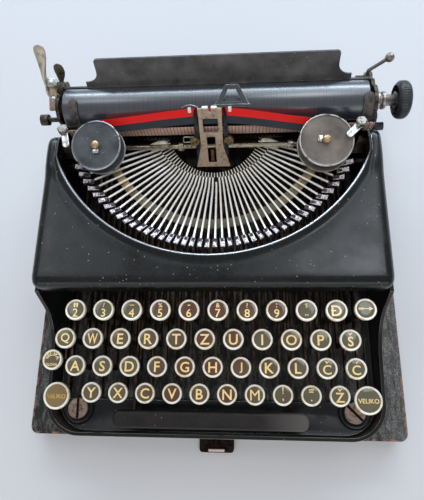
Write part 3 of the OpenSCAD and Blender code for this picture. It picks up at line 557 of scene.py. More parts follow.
hacek = [(-1.5, 4.9), (-0.9, 4.9), (0.0, 3.9), (0.9, 4.9), (1.5, 4.9), (0.4, 3.1), (-0.4, 3.1)]
acute = [(-0.2, 3.1), (0.5, 3.1), (1.6, 4.9), (0.7, 4.9)]
cross_bar = [(-3.6, -0.6), (-0.4, -0.6), (-0.4, 0.3), (-3.6, 0.3)]
accented = {"Š": ("S", hacek), "Č": ("C", hacek), "Ž": ("Z", hacek), "Ć": ("C", acute), "Đ": ("D", cross_bar)}
legends = [
    [('"', "2"), ("/", "3"), ("_", "4"), ("%", "5"), ("-", "6"), ("&", "7"), ("?", "8"), (":", "9"),
     ("§", ".."), "Đ"],
    list("QWERTZUIOPŠ"),
    list("ASDFGHJKLČĆ"),
    list("YXCVBNM") + [("!", ","), ("=", "."), "Ž"],
]
working_row, working_key = 3, 5
for row in range(1, 5):
    y = front_row_y + (4 - row) * row_step
    z = front_row_z + (4 - row) * row_rise
    rings, discs, print_marks = [], [], []
    for i in range(row_count[row - 1]):
        if (row, i) == (working_row, working_key):
            continue
        x = row_x[row - 1] + i * key_pitch
        rings.append(ring_shell(x, y, z, key_r))
        discs.append(disc_shell(x, y, z, key_r))
        print_marks += marks(legends[row - 1][i], x, y, z)
    body = f"key_row_{row}"
    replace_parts(piece(f"key_rings_row_{row}", rings, ring_nickel, body), f"key_rims_row_{row}")
    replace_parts(piece(f"key_cards_row_{row}", discs, card, body), f"key_faces_row_{row}")
    piece(f"key_letters_row_{row}", print_marks, ink, body)

# Centre key, shift lock, backspace and shift keys: the same rings and cards on levers of their own.
# The shift keys are larger and lettered with the plain word for capitals.
y = front_row_y + row_step
z = front_row_z + row_rise
x = row_x[2] + working_key * key_pitch
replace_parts(piece("centre_key_ring", [ring_shell(x, y, z, key_r)], ring_nickel, "centre_key"), "centre_key")
piece("centre_key_card", [disc_shell(x, y, z, key_r)], card, "centre_key")
piece("centre_key_letter", marks(legends[2][working_key], x, y, z), ink, "centre_key")
piece("centre_key_lever", [lever_shell(x, y, z)], lever_steel, "centre_key")

lock_x, lock_y, lock_lever_x = -110.1, -86.9, -113.5
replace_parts(piece("shift_lock_ring", [ring_shell(lock_x, lock_y, z, key_r)], ring_nickel, "shift_lock"),
            "shift_lock_key")
piece("shift_lock_card", [disc_shell(lock_x, lock_y, z, key_r)], card, "shift_lock")
piece("shift_lock_lever", [lever_shell(lock_lever_x, lock_y, z)], lever_steel, "shift_lock")
around = []
word_r, word_first, word_step = 4.1, 160, 28
for k, letter in enumerate("VELIKA"):
    a = radians(word_first - k * word_step)
    around.append(lettering(letter, lock_x + word_r * cos(a), lock_y + word_r * sin(a), z - print_down,
                            2.6, 0.2, a - pi / 2))
around.append(lettering("SLOVA", lock_x, lock_y - 3.3, z - print_down, 1.9, 0.2))
piece("shift_lock_words", around, ink, "shift_lock")

back_x, back_y = 100.8, -54.6
z = front_row_z + 3 * row_rise
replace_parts(piece("backspace_ring", [ring_shell(back_x, back_y, z, key_r)], ring_nickel, "backspace"),
            "backspace_key")
piece("backspace_card", [disc_shell(back_x, back_y, z, key_r)], card, "backspace")
piece("backspace_lever", [lever_shell(back_x, back_y, z)], lever_steel, "backspace")
shaft = [(-4.6, 0.25), (2.6, 0.25), (2.0, 1.3), (4.8, 0.0), (2.0, -1.3), (2.6, -0.25), (-4.6, -0.25)]
arrow_up, flight_step, flight_down = 0.4, 1.2, 0.26
arrow = [([(back_x + a, back_y + b + arrow_up, z - print_down) for a, b in shaft],
          [tuple(range(len(shaft)))])]
for k in range(3):
    flight = [(start + k * flight_step, b) for start, b in
              ((-4.6, 0.9), (-4.1, 0.9), (-3.5, 0.0), (-4.1, -0.9), (-4.6, -0.9), (-4.0, 0.0))]
    arrow.append(([(back_x + a, back_y + b + arrow_up, z - flight_down) for a, b in flight],
                  [tuple(range(len(flight)))]))
piece("backspace_arrow", arrow, ink, "backspace")

z = front_row_z
shifts = [(-108.8, -110.9), (106.1, -110.7)]
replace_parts(piece("shift_rings", [ring_shell(x, y, z, shift_r) for x, y in shifts], ring_nickel, "shift"),
            "shift_key_tops")
# The left card is worn: its paper is tan and its print has nearly gone.
tan_card = stained_finish("rubbed_tan_card", "#7d6642", "#6b6350", 0.4, 7, 0.45, 0.0)
faint_ink = stained_finish("faded_print", "#cda257", "#9a7a47", 0.4, 3, 0.4, 0.0)
shift_looks = ((tan_card, faint_ink, 0.2), (card, ink, 0.1))
for (x, y), name, (paper, print_ink, bold) in zip(shifts, ("left", "right"), shift_looks):
    piece(f"shift_card_{name}", [disc_shell(x, y, z, shift_r)], paper, "shift")
    piece(f"shift_word_{name}", [lettering("VELIKO", x, y - 0.4, z - print_down, 3.0, bold)], print_ink,
          "shift")

# Space bar: a moulded bar of dark hard rubber on two levers of the keyboard.
# Thumbs have greyed its right end and polished its top.
bar_rubber = worn_enamel("thumb_worn_hard_rubber", "#140f0d", "#2d2622", "#6d665f", 0.4, 16, 0.35, 0.88, 0.4)
bar_half, bar_deep, bar_round = 69.5, 6.2, 5.4
bar_x, bar_y, bar_z = -1.5, -126.2, 44.0
tree = bar_rubber.node_tree
shader = next(n for n in tree.nodes if n.bl_idname == "ShaderNodeBsdfPrincipled")
axes = add(tree, "ShaderNodeSeparateXYZ", {"Vector": add(tree, "ShaderNodeTexCoord", {}).outputs["Object"]})
thumbed = add(tree, "ShaderNodeMapRange",
              {"Value": axes.outputs[0], "From Min": 35 * mm, "From Max": 75 * mm, "To Max": 0.45})
greyed = add(tree, "ShaderNodeMix",
             {0: thumbed.outputs[0], 6: shader.inputs["Base Color"].links[0].from_socket, 7: lin("#857e7b")},
             data_type="RGBA")
join(tree, shader, {"Base Color": greyed.outputs[2]})


def bar_ring(inset, z):
    """Outline of the space bar, drawn in."""
    ring = []
    for sx, sy, first in ((1, -1, -pi / 2), (1, 1, 0.0), (-1, 1, pi / 2), (-1, -1, pi)):
        for k in range(9):
            a = first + k * pi / 16
            ring.append((bar_x + sx * (bar_half - bar_round) + (bar_round - inset) * cos(a),
                         bar_y + sy * (bar_deep - bar_round) + (bar_round - inset) * sin(a), bar_z + z))
    return ring


bar_levels = [(0.5, 0), (0, 0.6), (0, 4.2), (0.3, 5.0), (0.9, 5.6), (1.8, 5.9), (3.2, 6.0)]
space_bar = piece("space_bar_moulding", [skin([bar_ring(inset, z) for inset, z in bar_levels])], bar_rubber,
                  "space_bar")
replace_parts(space_bar, "space_bar")
bar_lever_top, bar_lever_x = 48.0, (-57.7, 56.6)
piece("space_bar_levers", [lever_shell(x, bar_y, bar_lever_top) for x in bar_lever_x], lever_steel,
      "space_bar")

# Segment: a milled block with one slot for each type bar, nickelled, held by a beam between the walls.
# A round wire in a groove is the pivot of all the bars.
segment_tilt = 23.2
segment_spot = (0, 98.1, 68.6)
on_segment = Matrix.Translation(segment_spot) @ Matrix.Rotation(radians(segment_tilt), 4, "X")
pivot_r = 49.9
bar_l = 64.6
fan = 70.8
bar_t = 1.3
bar_count = 42
heel_mid, heel_end = 41.6, 48.6
tooth_top = 2.2


def heel_inner(a):
    """Radius in mm at which the heel of the bar at an angle ends, on a line flatter than a circle."""
    return heel_mid + (heel_end - heel_mid) * (a / radians(fan)) ** 2


def block(size, at, soft=0.6):
    """Shell of a block with soft edges, its base on the XY plane of a matrix."""
    w, d, h = size[0] / 2, size[1] / 2, size[2]
    round_r = soft * 1.6
    levels = ((soft, 0.0), (0.0, soft * 0.6), (0.0, h - soft), (soft * 0.35, h - soft * 0.35), (soft, h))
    rings = []
    for inset, z in levels:
        ring = []
        for sx, sy, first in ((1, -1, -pi / 2), (1, 1, 0.0), (-1, 1, pi / 2), (-1, -1, pi)):
            for k in range(4):
                a = first + k * pi / 6
                r = round_r - inset
                ring.append(at @ Vector((sx * (w - round_r) + r * cos(a),
                                         sy * (d - round_r) + r * sin(a), z)))
        rings.append(ring)
    return skin(rings)


# Creamy nickel on the inner end of the teeth; the slots are painted near black as shade, and the outer teeth
# are as dark, mottled with old oil.
segment_nickel, tree, shader, place = finish("oiled_nickel_segment_painted_shade", "#e8e1cd", 0.35, 0.15)
local = add(tree, "ShaderNodeMapping",
            {"Vector": place, "Location": on_segment.translation * mm,
             "Rotation": (radians(segment_tilt), 0, 0)}, vector_type="TEXTURE")
axes = add(tree, "ShaderNodeSeparateXYZ", {"Vector": local.outputs[0]})
flat = add(tree, "ShaderNodeCombineXYZ", {0: axes.outputs[0], 1: axes.outputs[1]})
reach = add(tree, "ShaderNodeVectorMath", {0: flat.outputs[0]}, operation="LENGTH")
back = add(tree, "ShaderNodeMath", {0: axes.outputs[1], 1: -1.0}, operation="MULTIPLY")
turned_by = add(tree, "ShaderNodeMath", {0: axes.outputs[0], 1: back.outputs[0]}, operation="ARCTAN2")
share = add(tree, "ShaderNodeMath", {0: turned_by.outputs[0], 1: radians(fan)}, operation="DIVIDE")
bow = add(tree, "ShaderNodeMath", {0: share.outputs[0], 1: share.outputs[0]}, operation="MULTIPLY")
line = add(tree, "ShaderNodeMath", {0: bow.outputs[0], 1: (heel_end - heel_mid) * mm, 2: heel_mid * mm},
           operation="MULTIPLY_ADD")
inner = add(tree, "ShaderNodeMath", {0: reach.outputs["Value"], 1: line.outputs[0]}, operation="LESS_THAN")
upper = add(tree, "ShaderNodeMath", {0: axes.outputs[2], 1: tooth_top * mm}, operation="GREATER_THAN")
unshaded_top = add(tree, "ShaderNodeMath", {0: inner.outputs[0], 1: upper.outputs[0]}, operation="MULTIPLY")
oil = add(tree, "ShaderNodeTexNoise", {"Vector": place, "Scale": 1 / (4 * mm), "Detail": 5.0})
cream = add(tree, "ShaderNodeMix", {0: oil.outputs["Fac"], 6: lin("#fbf8f0"), 7: lin("#ded5c0")},
            data_type="RGBA")
oil_and_painted_shade = add(tree, "ShaderNodeMix", {0: oil.outputs["Fac"], 6: lin("#121110"), 7: lin("#3a2f25")},
           data_type="RGBA")
both = add(tree, "ShaderNodeMix", {0: unshaded_top.outputs[0], 6: oil_and_painted_shade.outputs[2], 7: cream.outputs[2]},
           data_type="RGBA")
join(tree, shader, {"Base Color": both.outputs[2]})
dress_solids(segment_nickel, "type_segment", "segment_wire")
# The end blocks are rubbed clean: cream, with the warm grey of thin plate.
end_nickel = stained_finish("creamy_end_nickel", "#fbf6e8", "#d8ccae", 0.35, 5, 0.35, 0.15)
ends, slots = [], []
for side in (-1, 1):
    at = (on_segment @ Matrix.Rotation(side * radians(fan - 1.6), 4, "Z")
          @ Matrix.Translation((side * 1.2, -pivot_r + 2.6, 1.2)))
    ends.append(block((7.4, 15.6, 5.2), at, 2.0))
    slots.append(block((1.9, 3.2, 0.6), at @ Matrix.Translation((side * 0.4, -3.4, 4.75)), 0.3))
piece("segment_end_blocks", ends, end_nickel, "frame")
# A dark block on each end block is the painted shade of its screw slot.
piece("segment_end_slot_shades", slots, lever_steel, "frame")

# Type bars: forged steel bars, nickelled, that rest in a fan on the padded arc.
# Each carries a slug with two characters, stained purple and black by the ribbon.
# Nickelled steel: almost white along the bars; the slugs are mottled by violet ink, black where it dried.
bar_steel = stained_finish("bright_nickel_bar", "#fffdf8", "#efe9da", 0.3, 8, 0.25, 0.15)
slug_nickel = stained_finish("slug_nickel", "#f8f3ee", "#6f5a70", 0.35, 1.3, 0.55, 0.2)
ribbon_ink = stained_finish("dried_ribbon_ink", "#2c2533", "#8b7d8a", 0.6, 1.2, 0.35, 0.1)
rest_front, rest_side = 49.2, 31.0
slug_l, face_over, face_deep = 4.4, 2.3, 0.4
to_segment = on_segment.inverted()
for node in ("type_bars", "centre_type_bar"):
    bars = rounded_copy(node, 0.22, bar_steel, 1)
    bars.data.materials.append(slug_nickel)
    bars.data.materials.append(ribbon_ink)
    for face in bars.data.polygons:
        p = to_segment @ (face.center / mm)
        a = degrees(atan2(p.x, -p.y))
        lift = radians(rest_front + (rest_side - rest_front) * (a / fan) ** 2)
        out = hypot(p.x, p.y) - pivot_r
        along = out * cos(lift) + p.z * sin(lift)
        over = -out * sin(lift) + p.z * cos(lift)
        if along > bar_l - slug_l:
            face.material_index = 1 if over > face_over and along > bar_l - face_deep else 2
working_bar = bar_count // 2
short_heel, heel_h, heel_down = 4.6, 3.2, 0.4
heels, working_heel = [], []
for i in range(bar_count):
    a = radians(-fan + 2 * fan * i / (bar_count - 1))
    first = max(heel_inner(a), pivot_r - short_heel) if i == working_bar else heel_inner(a)
    at = on_segment @ Matrix.Rotation(a, 4, "Z") @ Matrix.Translation((0, -(pivot_r + first) / 2, -heel_down))
    heel = block((bar_t, pivot_r - first, heel_h), at, 0.2)
    (working_heel if i == working_bar else heels).append(heel)
piece("type_bar_heels", heels, bar_steel, "frame")
piece("centre_bar_heel", working_heel, bar_steel, "centre_type_bar")

# Type rest: a strip of felt on a curved plate, where the bars fall back, with clips at both ends.
# The felt is crushed and grey with oil in the middle, olive and tan further out, yellow at its ends.
felt, tree, shader, place = finish("crushed_felt", "#7b6f4d", 0.95)
patch = add(tree, "ShaderNodeTexNoise", {"Vector": place, "Scale": 1 / (8 * mm), "Detail": 5.0})
tone = add(tree, "ShaderNodeMapRange", {"Value": patch.outputs["Fac"], "From Min": 0.38, "From Max": 0.62})
axes = add(tree, "ShaderNodeSeparateXYZ", {"Vector": place})
off = add(tree, "ShaderNodeMath", {0: axes.outputs[0]}, operation="ABSOLUTE")
soiled = add(tree, "ShaderNodeMapRange", {"Value": off.outputs[0], "From Min": 66 * mm, "From Max": 48 * mm})
clean_tint = add(tree, "ShaderNodeMix", {0: tone.outputs[0], 6: lin("#857a5b"), 7: lin("#c7ab77")},
                 data_type="RGBA")
felt_tint = add(tree, "ShaderNodeMix", {0: soiled.outputs[0], 6: clean_tint.outputs[2], 7: lin("#77725f")},
                data_type="RGBA")
nap = add(tree, "ShaderNodeTexNoise", {"Vector": place, "Scale": 1 / (0.4 * mm), "Detail": 4.0})
fuzz = add(tree, "ShaderNodeBump", {"Strength": 0.8, "Distance": 0.3 * mm, "Height": nap.outputs["Fac"]})
join(tree, shader, {"Base Color": felt_tint.outputs[2], "Normal": fuzz.outputs[0], "Sheen Weight": 0.3})
rest_lean = 10.45
on_rest = (Matrix.Translation(segment_spot) @ Matrix.Rotation(radians(segment_tilt - rest_lean), 4, "X")
           @ Matrix.Translation((0, 8, 12.4)))
pad_first, pad_step, pad_count, crush = -152, 2, 63, 0.18
pad_rings = []
for k in range(pad_count):
    a = radians(pad_first + k * pad_step)
    dip = crush * (k % 2)
    ring = [(86.1, -2.9), (86.0, -1.0), (86.5, -0.25 - dip), (88.0, 0.0 - dip), (91.0, 0.0 - dip),
            (92.5, -0.25 - dip), (93.0, -1.0), (92.9, -2.9)]
    pad_rings.append([on_rest @ Vector((r * cos(a), r * sin(a), h)) for r, h in ring])
pad = piece("type_rest_pad", [skin(pad_rings)], felt, "frame")
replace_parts(pad, "type_rest")
strap_z = 68.4
straps = [block((43.0, 8.0, 3.2), Matrix.Translation((side * 96.4, 61, strap_z - 1.6)), 0.5)
          for side in (-1, 1)]
piece("type_rest_straps", straps, browned_steel, "frame")
# Felt that no bar has touched: dry, yellow and matt.
clip_felt = stained_finish("yellow_felt_end", "#b3a067", "#7d6c3e", 0.9, 4, 0.4, 0.0)
clips = [block((7.0, 8.0, 2.6), on_rest @ Matrix.Rotation(radians(a), 4, "Z")
               @ Matrix.Translation((0, -89.5, -0.3)), 1.0) for a in (-59, 59)]
piece("type_rest_ends", clips, clip_felt, "frame")

# Ribbon carrier and its guide: a tan nickelled plate with a window for the type, sliding on two dark strips.
# Two slotted screws hold the strips; white hooks and wires on the plate keep the ribbon.
on_guide = Matrix.Translation((0, 62, 60)) @ Matrix.Rotation(radians(-19.8), 4, "X")
# Tarnished nickel: a warm tan with a soft shine, browner in small patches.
carrier_nickel = stained_finish("tan_tarnished_nickel", "#c4ae97", "#94806b", 0.5, 3, 0.35, 0.4)
rounded_copy("ribbon_vibrator", 0.18, carrier_nickel)
# Blued steel is grey-black and half bright; the brass screws and the copper link beside it show warm.
dark_steel = stained_finish("blued_dark_steel", "#4a4e52", "#2a2b2d", 0.42, 5, 0.4)
rounded_copy("type_guide", 0.15, dark_steel)
screw_brass = stained_finish("dirty_brass_screw", "#b09a70", "#54452f", 0.42, 2, 0.45)
rounded_copy("guide_screws", 0.3, screw_brass)
link_copper = stained_finish("copper_link", "#9a6f5d", "#6d4a40", 0.5, 2, 0.5)
piece("carrier_link", [block((2.6, 0.8, 11.0), on_guide @ Matrix.Translation((-0.2, 1.7, 9.5)), 0.2)],
      link_copper, "ribbon_vibrator")
# White enamel on the hooks: small clean lights over the red of the ribbon.
hook_white = stained_finish("white_hook_enamel", "#f2efe6", "#c9c2b0", 0.35, 2, 0.4, 0.0)
hooks = [block(size, on_guide @ Matrix.Translation((side * x, y, z)), 0.45)
         for size, x, y, z in (((2.4, 1.2, 4.4), 14.2, 1.4, 54.6), ((4.4, 2.4, 1.5), 3.2, 0.6, 58.4))
         for side in (-1, 1)]
piece("ribbon_hooks", hooks, hook_white, "ribbon_vibrator")


def bent_wire(name, points, thick, material, body):
    """A round wire through points in mm."""
    curve = bpy.data.curves.new(name, "CURVE")
    curve.dimensions = "3D"
    curve.bevel_depth = thick / 2 * mm
    curve.bevel_resolution = 3
    line = curve.splines.new("POLY")
    line.points.add(len(points) - 1)
    for spot, p in zip(line.points, points):
        spot.co = (*(Vector(p) * mm), 1.0)
    obj = bpy.data.objects.new(name, curve)
    bpy.context.scene.collection.objects.link(obj)
    curve.materials.append(material)
    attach(obj, body)
    return obj


# Drawn steel wire: thin and bright, with a grey film.
wire_steel = stained_finish("bright_wire", "#d9d6cc", "#9b958a", 0.3, 4, 0.3)
for side in (-1, 1):
    loop = [(side * (8.2 + 11.5 * k / 10), 3.2, 57.6 + 2.2 * sin(pi * k / 10)) for k in range(11)]
    bent_wire(f"ribbon_wire_{'left' if side < 0 else 'right'}", [on_guide @ Vector(p) for p in loop], 0.6,
              wire_steel, "ribbon_vibrator")
catch = [(-13.5, 1.0, 29.0), (-20.5, 1.0, 28.6), (-21.2, 1.0, 29.4), (-21.0, 1.0, 33.0), (-20.0, 1.0, 33.6),
         (-13.5, 1.0, 33.4)]
bent_wire("guide_catch", [on_guide @ Vector(p) for p in catch], 0.9, wire_steel, "frame")

# Card holder: a thin steel stamping that stands up against the platen, with a window to read through.
# It has turned dark and its edges shine.
holder_steel = worn_enamel("dark_stamped_steel", "#3c3e40", "#55575a", "#d8dade", 0.32, 9, 0.5, 0.98, 0.9)
rounded_copy("card_holder", 0.22, holder_steel)

# Ribbon: a woven cotton strip, its upper half inked red and its lower half black, stretched between the
# spools behind the carrier. The middle rises with the carrier in use; here each side is one fixed sheet to
# its spool.

# Inked cotton: matt, a clear red above a blue-black. Its threads are drawn at 2 mm, coarser than real
# ones, so that they show.
ribbon_cloth, tree, shader, place = finish("two_colour_inked_cotton", "#b01820", 0.7)
across = add(tree, "ShaderNodeAttribute", {}, attribute_name="across")
red_half = add(tree, "ShaderNodeMath", {0: across.outputs["Fac"], 1: 0.5}, operation="GREATER_THAN")
inked = add(tree, "ShaderNodeTexNoise", {"Vector": place, "Scale": 1 / (9 * mm), "Detail": 5.0})
red = add(tree, "ShaderNodeMix", {0: inked.outputs["Fac"], 6: lin("#f6241f"), 7: lin("#ea1d1c")},
          data_type="RGBA")
black = add(tree, "ShaderNodeMix", {0: inked.outputs["Fac"], 6: lin("#2a2f35"), 7: lin("#3c4149")},
            data_type="RGBA")
halves = add(tree, "ShaderNodeMix", {0: red_half.outputs[0], 6: black.outputs[2], 7: red.outputs[2]},
             data_type="RGBA")
thread = add(tree, "ShaderNodeTexWave", {"Vector": place, "Scale": 1 / (2.0 * mm)}, bands_direction="X")
weave = add(tree, "ShaderNodeBump", {"Strength": 0.2, "Distance": 0.05 * mm, "Height": thread.outputs["Fac"]})
join(tree, shader, {"Base Color": halves.outputs[2], "Normal": weave.outputs[0]})
ribbon_low, ribbon_high, ribbon_out = 44.1, 57.3, 2.41
carrier_half = 12.0
spool_low, spool_high, ribbon_lean = 99.8, 111.8, 1.8
spool_ends = {-1: (-79.0, 75.5), 1: (79.0, 72.0)}
rows, near_steps, far_steps = 8, 8, 32
for side, name in ((-1, "left"), (1, "right")):
    end_x, end_y = spool_ends[side]
    guide_low = on_guide @ Vector((0, ribbon_out, ribbon_low))
    guide_high = on_guide @ Vector((0, ribbon_out, ribbon_high))
    run_out = abs(end_x) - carrier_half
    strips = []
    for k in range(near_steps + far_steps + 1):
        x = side * (carrier_half * k / near_steps if k <= near_steps
                    else carrier_half + run_out * (k - near_steps) / far_steps)
        share = max(0.0, (abs(x) - carrier_half) / run_out)
        ease = share * share * (3 - 2 * share) * 0.4 + share * 0.6
        low = guide_low.lerp(Vector((0, end_y - ribbon_lean, spool_low)), ease)
        high = guide_high.lerp(Vector((0, end_y + ribbon_lean, spool_high)), ease)
        strips.append([(x, low.y + (high.y - low.y) * r / rows, low.z + (high.z - low.z) * r / rows)
                       for r in range(rows + 1)])
    ribbon = piece(f"ribbon_{name}", [skin(strips, loop=False, caps=False)], ribbon_cloth, "frame")
    mark = ribbon.data.attributes.new("across", "FLOAT", "POINT")
    for i in range(len(ribbon.data.vertices)):
        mark.data[i].value = (i % (rows + 1)) / rows
    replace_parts(ribbon, "ribbon")
    ribbon.parent = None
    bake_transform(ribbon)


# Spools: two stamped steel flanges with a rolled lip on a hub wound with ribbon, dropped on a spindle.
# The left one is black enamel, the right one brown; a brass pin shows in the middle, a bright clip beside it.
def spool_frame(side, tilt):
    """Middle of the upper flange, its Z axis along the spindle."""
    return Matrix.Translation((side * 80, 58, 110.5)) @ Matrix.Rotation(radians(tilt), 4, "X")


# Spool enamel: thin and greyed in patches, on the black spool as a painted sky reflection; the wound edge is
# dull and the pin and clip catch the light.
hub_r, bare_rim = 2.2, 0.6
layer_h, layer_in = 0.76, 0.25
# The black spool's grey coat and grey haze are a painted reflection of the sky.
spool_black = worn_enamel("black_spool_enamel", "#2c3034", "#5d6164", "#c4c6c8", 0.36, 14, 0.7, 0.85, 0.8)
spool_brown = worn_enamel("brown_spool_enamel", "#4b413b", "#857b70", "#d0ccc6", 0.36, 16, 0.75, 0.9, 0.8)
wound = stained_finish("wound_ribbon_edge", "#23242a", "#3a2226", 0.8, 2, 0.5, 0.0)
pin_brass = stained_finish("dulled_brass_pin", "#cbb089", "#8f7450", 0.35, 2, 0.4, 0.7)
clip_nickel = stained_finish("bright_clip_nickel", "#f4f2ec", "#cfc9bd", 0.22, 2, 0.3)
for side, tilt, r, pack, coat, clip_turn, name in (
        (-1, 14, 17.8, 11.2, spool_black, -90, "left"), (1, 10, 18.6, 10.2, spool_brown, 168, "right")):
    at = spool_frame(side, tilt)
    lip = [(hub_r, -0.5), (5.0, -0.5), (5.4, -0.42), (9.6, -0.42), (9.9, -0.35), (r - 2.0, -0.35),
           (r - 1.2, -0.05), (r - 0.5, 0.0), (r - 0.05, -0.35), (r, -1.0), (r - 0.3, -1.5), (r - 1.0, -1.6),
           (hub_r, -1.4)]
    foot = [(hub_r, -12.9), (r - 0.8, -12.9), (r - 0.1, -13.2), (r, -13.6), (r - 0.3, -14.0), (hub_r, -14.0)]
    spool = piece(f"spool_{name}_flanges", [turned(lip, at, 64), turned(foot, at, 64)], coat,
                  f"spool_{name}", 14)
    mark = spool.data.attributes.new("edge", "FLOAT", "POINT")
    for v in spool.data.vertices:
        local = at.inverted() @ (v.co / mm)
        mark.data[v.index].value = 1.0 if hypot(local.x, local.y) > r - bare_rim else 0.0
    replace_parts(spool, f"spool_{name}")
    layers = [(pack - layer_in * (k % 2), -1.5 - k * layer_h) for k in range(16)]
    layers = [(hub_r, -1.5)] + layers + [(hub_r, -13.0)]
    piece(f"spool_{name}_winding", [turned(layers, at, 48)], wound, f"spool_{name}")
    pin = [(2.9, 0.15), (2.9, 1.9), (2.5, 2.7), (1.6, 3.2), (0.05, 3.4)]
    piece(f"spool_{name}_pin", [turned(pin, at, 32)], pin_brass, "frame")
    clip_at = at @ Matrix.Rotation(radians(clip_turn), 4, "Z") @ Matrix.Translation((4.4, 0, -0.2))
    piece(f"spool_{name}_clip", [block((3.0, 4.6, 1.4), clip_at, 0.5)], clip_nickel, f"spool_{name}")

# Spool brackets and reverse levers: dark brackets with turned studs, bright nickel tongues on top.
# Each tongue is held by a hexagon nut.
dress_solids(browned_steel, "spool_brackets")
# Nickel kept bright by the finger; the nuts on top are greyer.
lever_nickel = stained_finish("bright_lever_nickel", "#ecebe6", "#a9a59c", 0.25, 4, 0.3)
rounded_copy("reverse_lever_left", 0.4, lever_nickel)
rounded_copy("reverse_lever_right", 0.4, lever_nickel)
nut_steel = stained_finish("nickelled_nut", "#b3aea4", "#6b645a", 0.35, 2, 0.4)
nuts = [turned([(3.0, 0.0), (3.9, 0.3), (3.9, 2.4), (3.0, 3.0), (1.6, 3.1), (1.4, 3.4), (0.05, 3.5)],
               Matrix.Translation((side * 102.5, 67.5, 115.2)), 6) for side in (-1, 1)]
piece("reverse_lever_nuts", nuts, nut_steel, "frame", 25)

# Feed shaft: a ground steel rod in two bearings on the segment beam, with collars and a spool pinion.
# It is bright, with a yellow film of old oil.
shaft_steel = stained_finish("oiled_ground_steel", "#d8cdb6", "#8f7a58", 0.3, 5, 0.4)
rounded_copy("ribbon_feed_shaft", 0.4, shaft_steel)

# Carriage: steel rail on a cross bar, the channel that slides on it, and the two end plates.
# All are dark; the left end has a tan line-space strap with a rivet and a bright stop block.
frame_steel = stained_finish("dark_carriage_steel", "#2e2c2a", "#4a3f35", 0.5, 9, 0.5)
dress_solids(frame_steel, "carriage_rail", "carriage_frame")
# Bare end plates: dark steel mottled with tan, and a strap with a tan shine.
end_steel = stained_finish("mottled_end_plate_steel", "#4b4540", "#8b7c66", 0.45, 4, 0.45)
rounded_copy("carriage_end_left", 0.4, end_steel)
rounded_copy("carriage_end_right", 0.4, end_steel)
strap_steel = stained_finish("tan_tarnished_strap", "#b5a28b", "#7f6c57", 0.4, 4, 0.4, 0.7)
strap_rise, strap_run = 7.0, 21.0
slope = atan2(strap_rise, strap_run)
on_strap = Matrix.Translation((-116.45, 101.5, 108.95)) @ Matrix.Rotation(slope, 4, "X")
piece("line_space_strap", [block((5.6, 22.0, 0.9), on_strap, 0.3)], strap_steel, "platen_carrier")
rivet = [(2.0, 0.7), (1.9, 1.3), (1.2, 1.8), (0.05, 2.0)]
piece("strap_rivet", [turned(rivet, on_strap @ Matrix.Translation((0, -3.0, 0)), 24)], lever_nickel,
      "platen_carrier")
piece("strap_stop", [block((6.4, 5.6, 3.2), on_strap @ Matrix.Translation((0.2, 8.2, 0.7)), 0.5)],
      lever_nickel, "platen_carrier")

# Platen: a hard rubber roller on a steel shaft, ground on a lathe, so fine rings run round it.
# It is blue-black and takes a soft light band along its top. The rings are drawn at 0.8 mm to show at all.
platen_rubber, tree, shader, place = finish("ground_platen_rubber", "#2f343c", 0.34)
shader.inputs["Specular IOR Level"].default_value = 1.0
axes = add(tree, "ShaderNodeSeparateXYZ", {"Vector": place})
run = add(tree, "ShaderNodeCombineXYZ", {0: axes.outputs[0]})
rings = add(tree, "ShaderNodeTexNoise", {"Vector": run.outputs[0], "Scale": 1 / (0.8 * mm), "Detail": 5.0})
smear = add(tree, "ShaderNodeTexNoise", {"Vector": place, "Scale": 1 / (25 * mm), "Detail": 5.0})
streak = add(tree, "ShaderNodeMix", {0: rings.outputs["Fac"], 6: lin("#1c222c"), 7: lin("#252e3a")},
             data_type="RGBA")
worn_tint = add(tree, "ShaderNodeMix", {0: smear.outputs["Fac"], 6: streak.outputs[2], 7: lin("#32353b")},
                data_type="RGBA")
shine = add(tree, "ShaderNodeMapRange",
            {"Value": rings.outputs["Fac"], "From Min": 0.3, "From Max": 0.7, "To Min": 0.24, "To Max": 0.34})
turn_lines = add(tree, "ShaderNodeBump",
                 {"Strength": 0.08, "Distance": 0.05 * mm, "Height": rings.outputs["Fac"]})
join(tree, shader, {"Base Color": worn_tint.outputs[2], "Roughness": shine.outputs[0],
                    "Normal": turn_lines.outputs[0], "Coat Weight": 1.0, "Coat Roughness": 0.3,
                    "Coat IOR": 1.9})
rounded_copy("platen", 0.8, platen_rubber, 3)
# Axle: grey steel browned near the bearings. Knob: glossy black moulding, rubbed grey on its ribs.
axle_steel = stained_finish("browned_axle_steel", "#bdb6b0", "#7a6c62", 0.35, 4, 0.4)
rounded_copy("platen_shaft", 0.4, axle_steel)
knob_black = worn_enamel("black_moulded_knob", "#1a1c1f", "#44474b", "#7b8088", 0.2, 12, 0.5, 0.95, 1.0)
rounded_copy("platen_knob", 0.35, knob_black)

# Paper table: sheet steel behind the platen, enamelled like the hood, its upper corners cut in.
# It leans back and carries the paper. The enamel is scuffed grey and shines little.
table_enamel = worn_enamel("scuffed_table_enamel", "#302f32", "#716e6b", "#a8a8a6", 0.42, 18, 0.7, 0.9, 0.6)
rounded_copy("paper_table", 0.4, table_enamel)

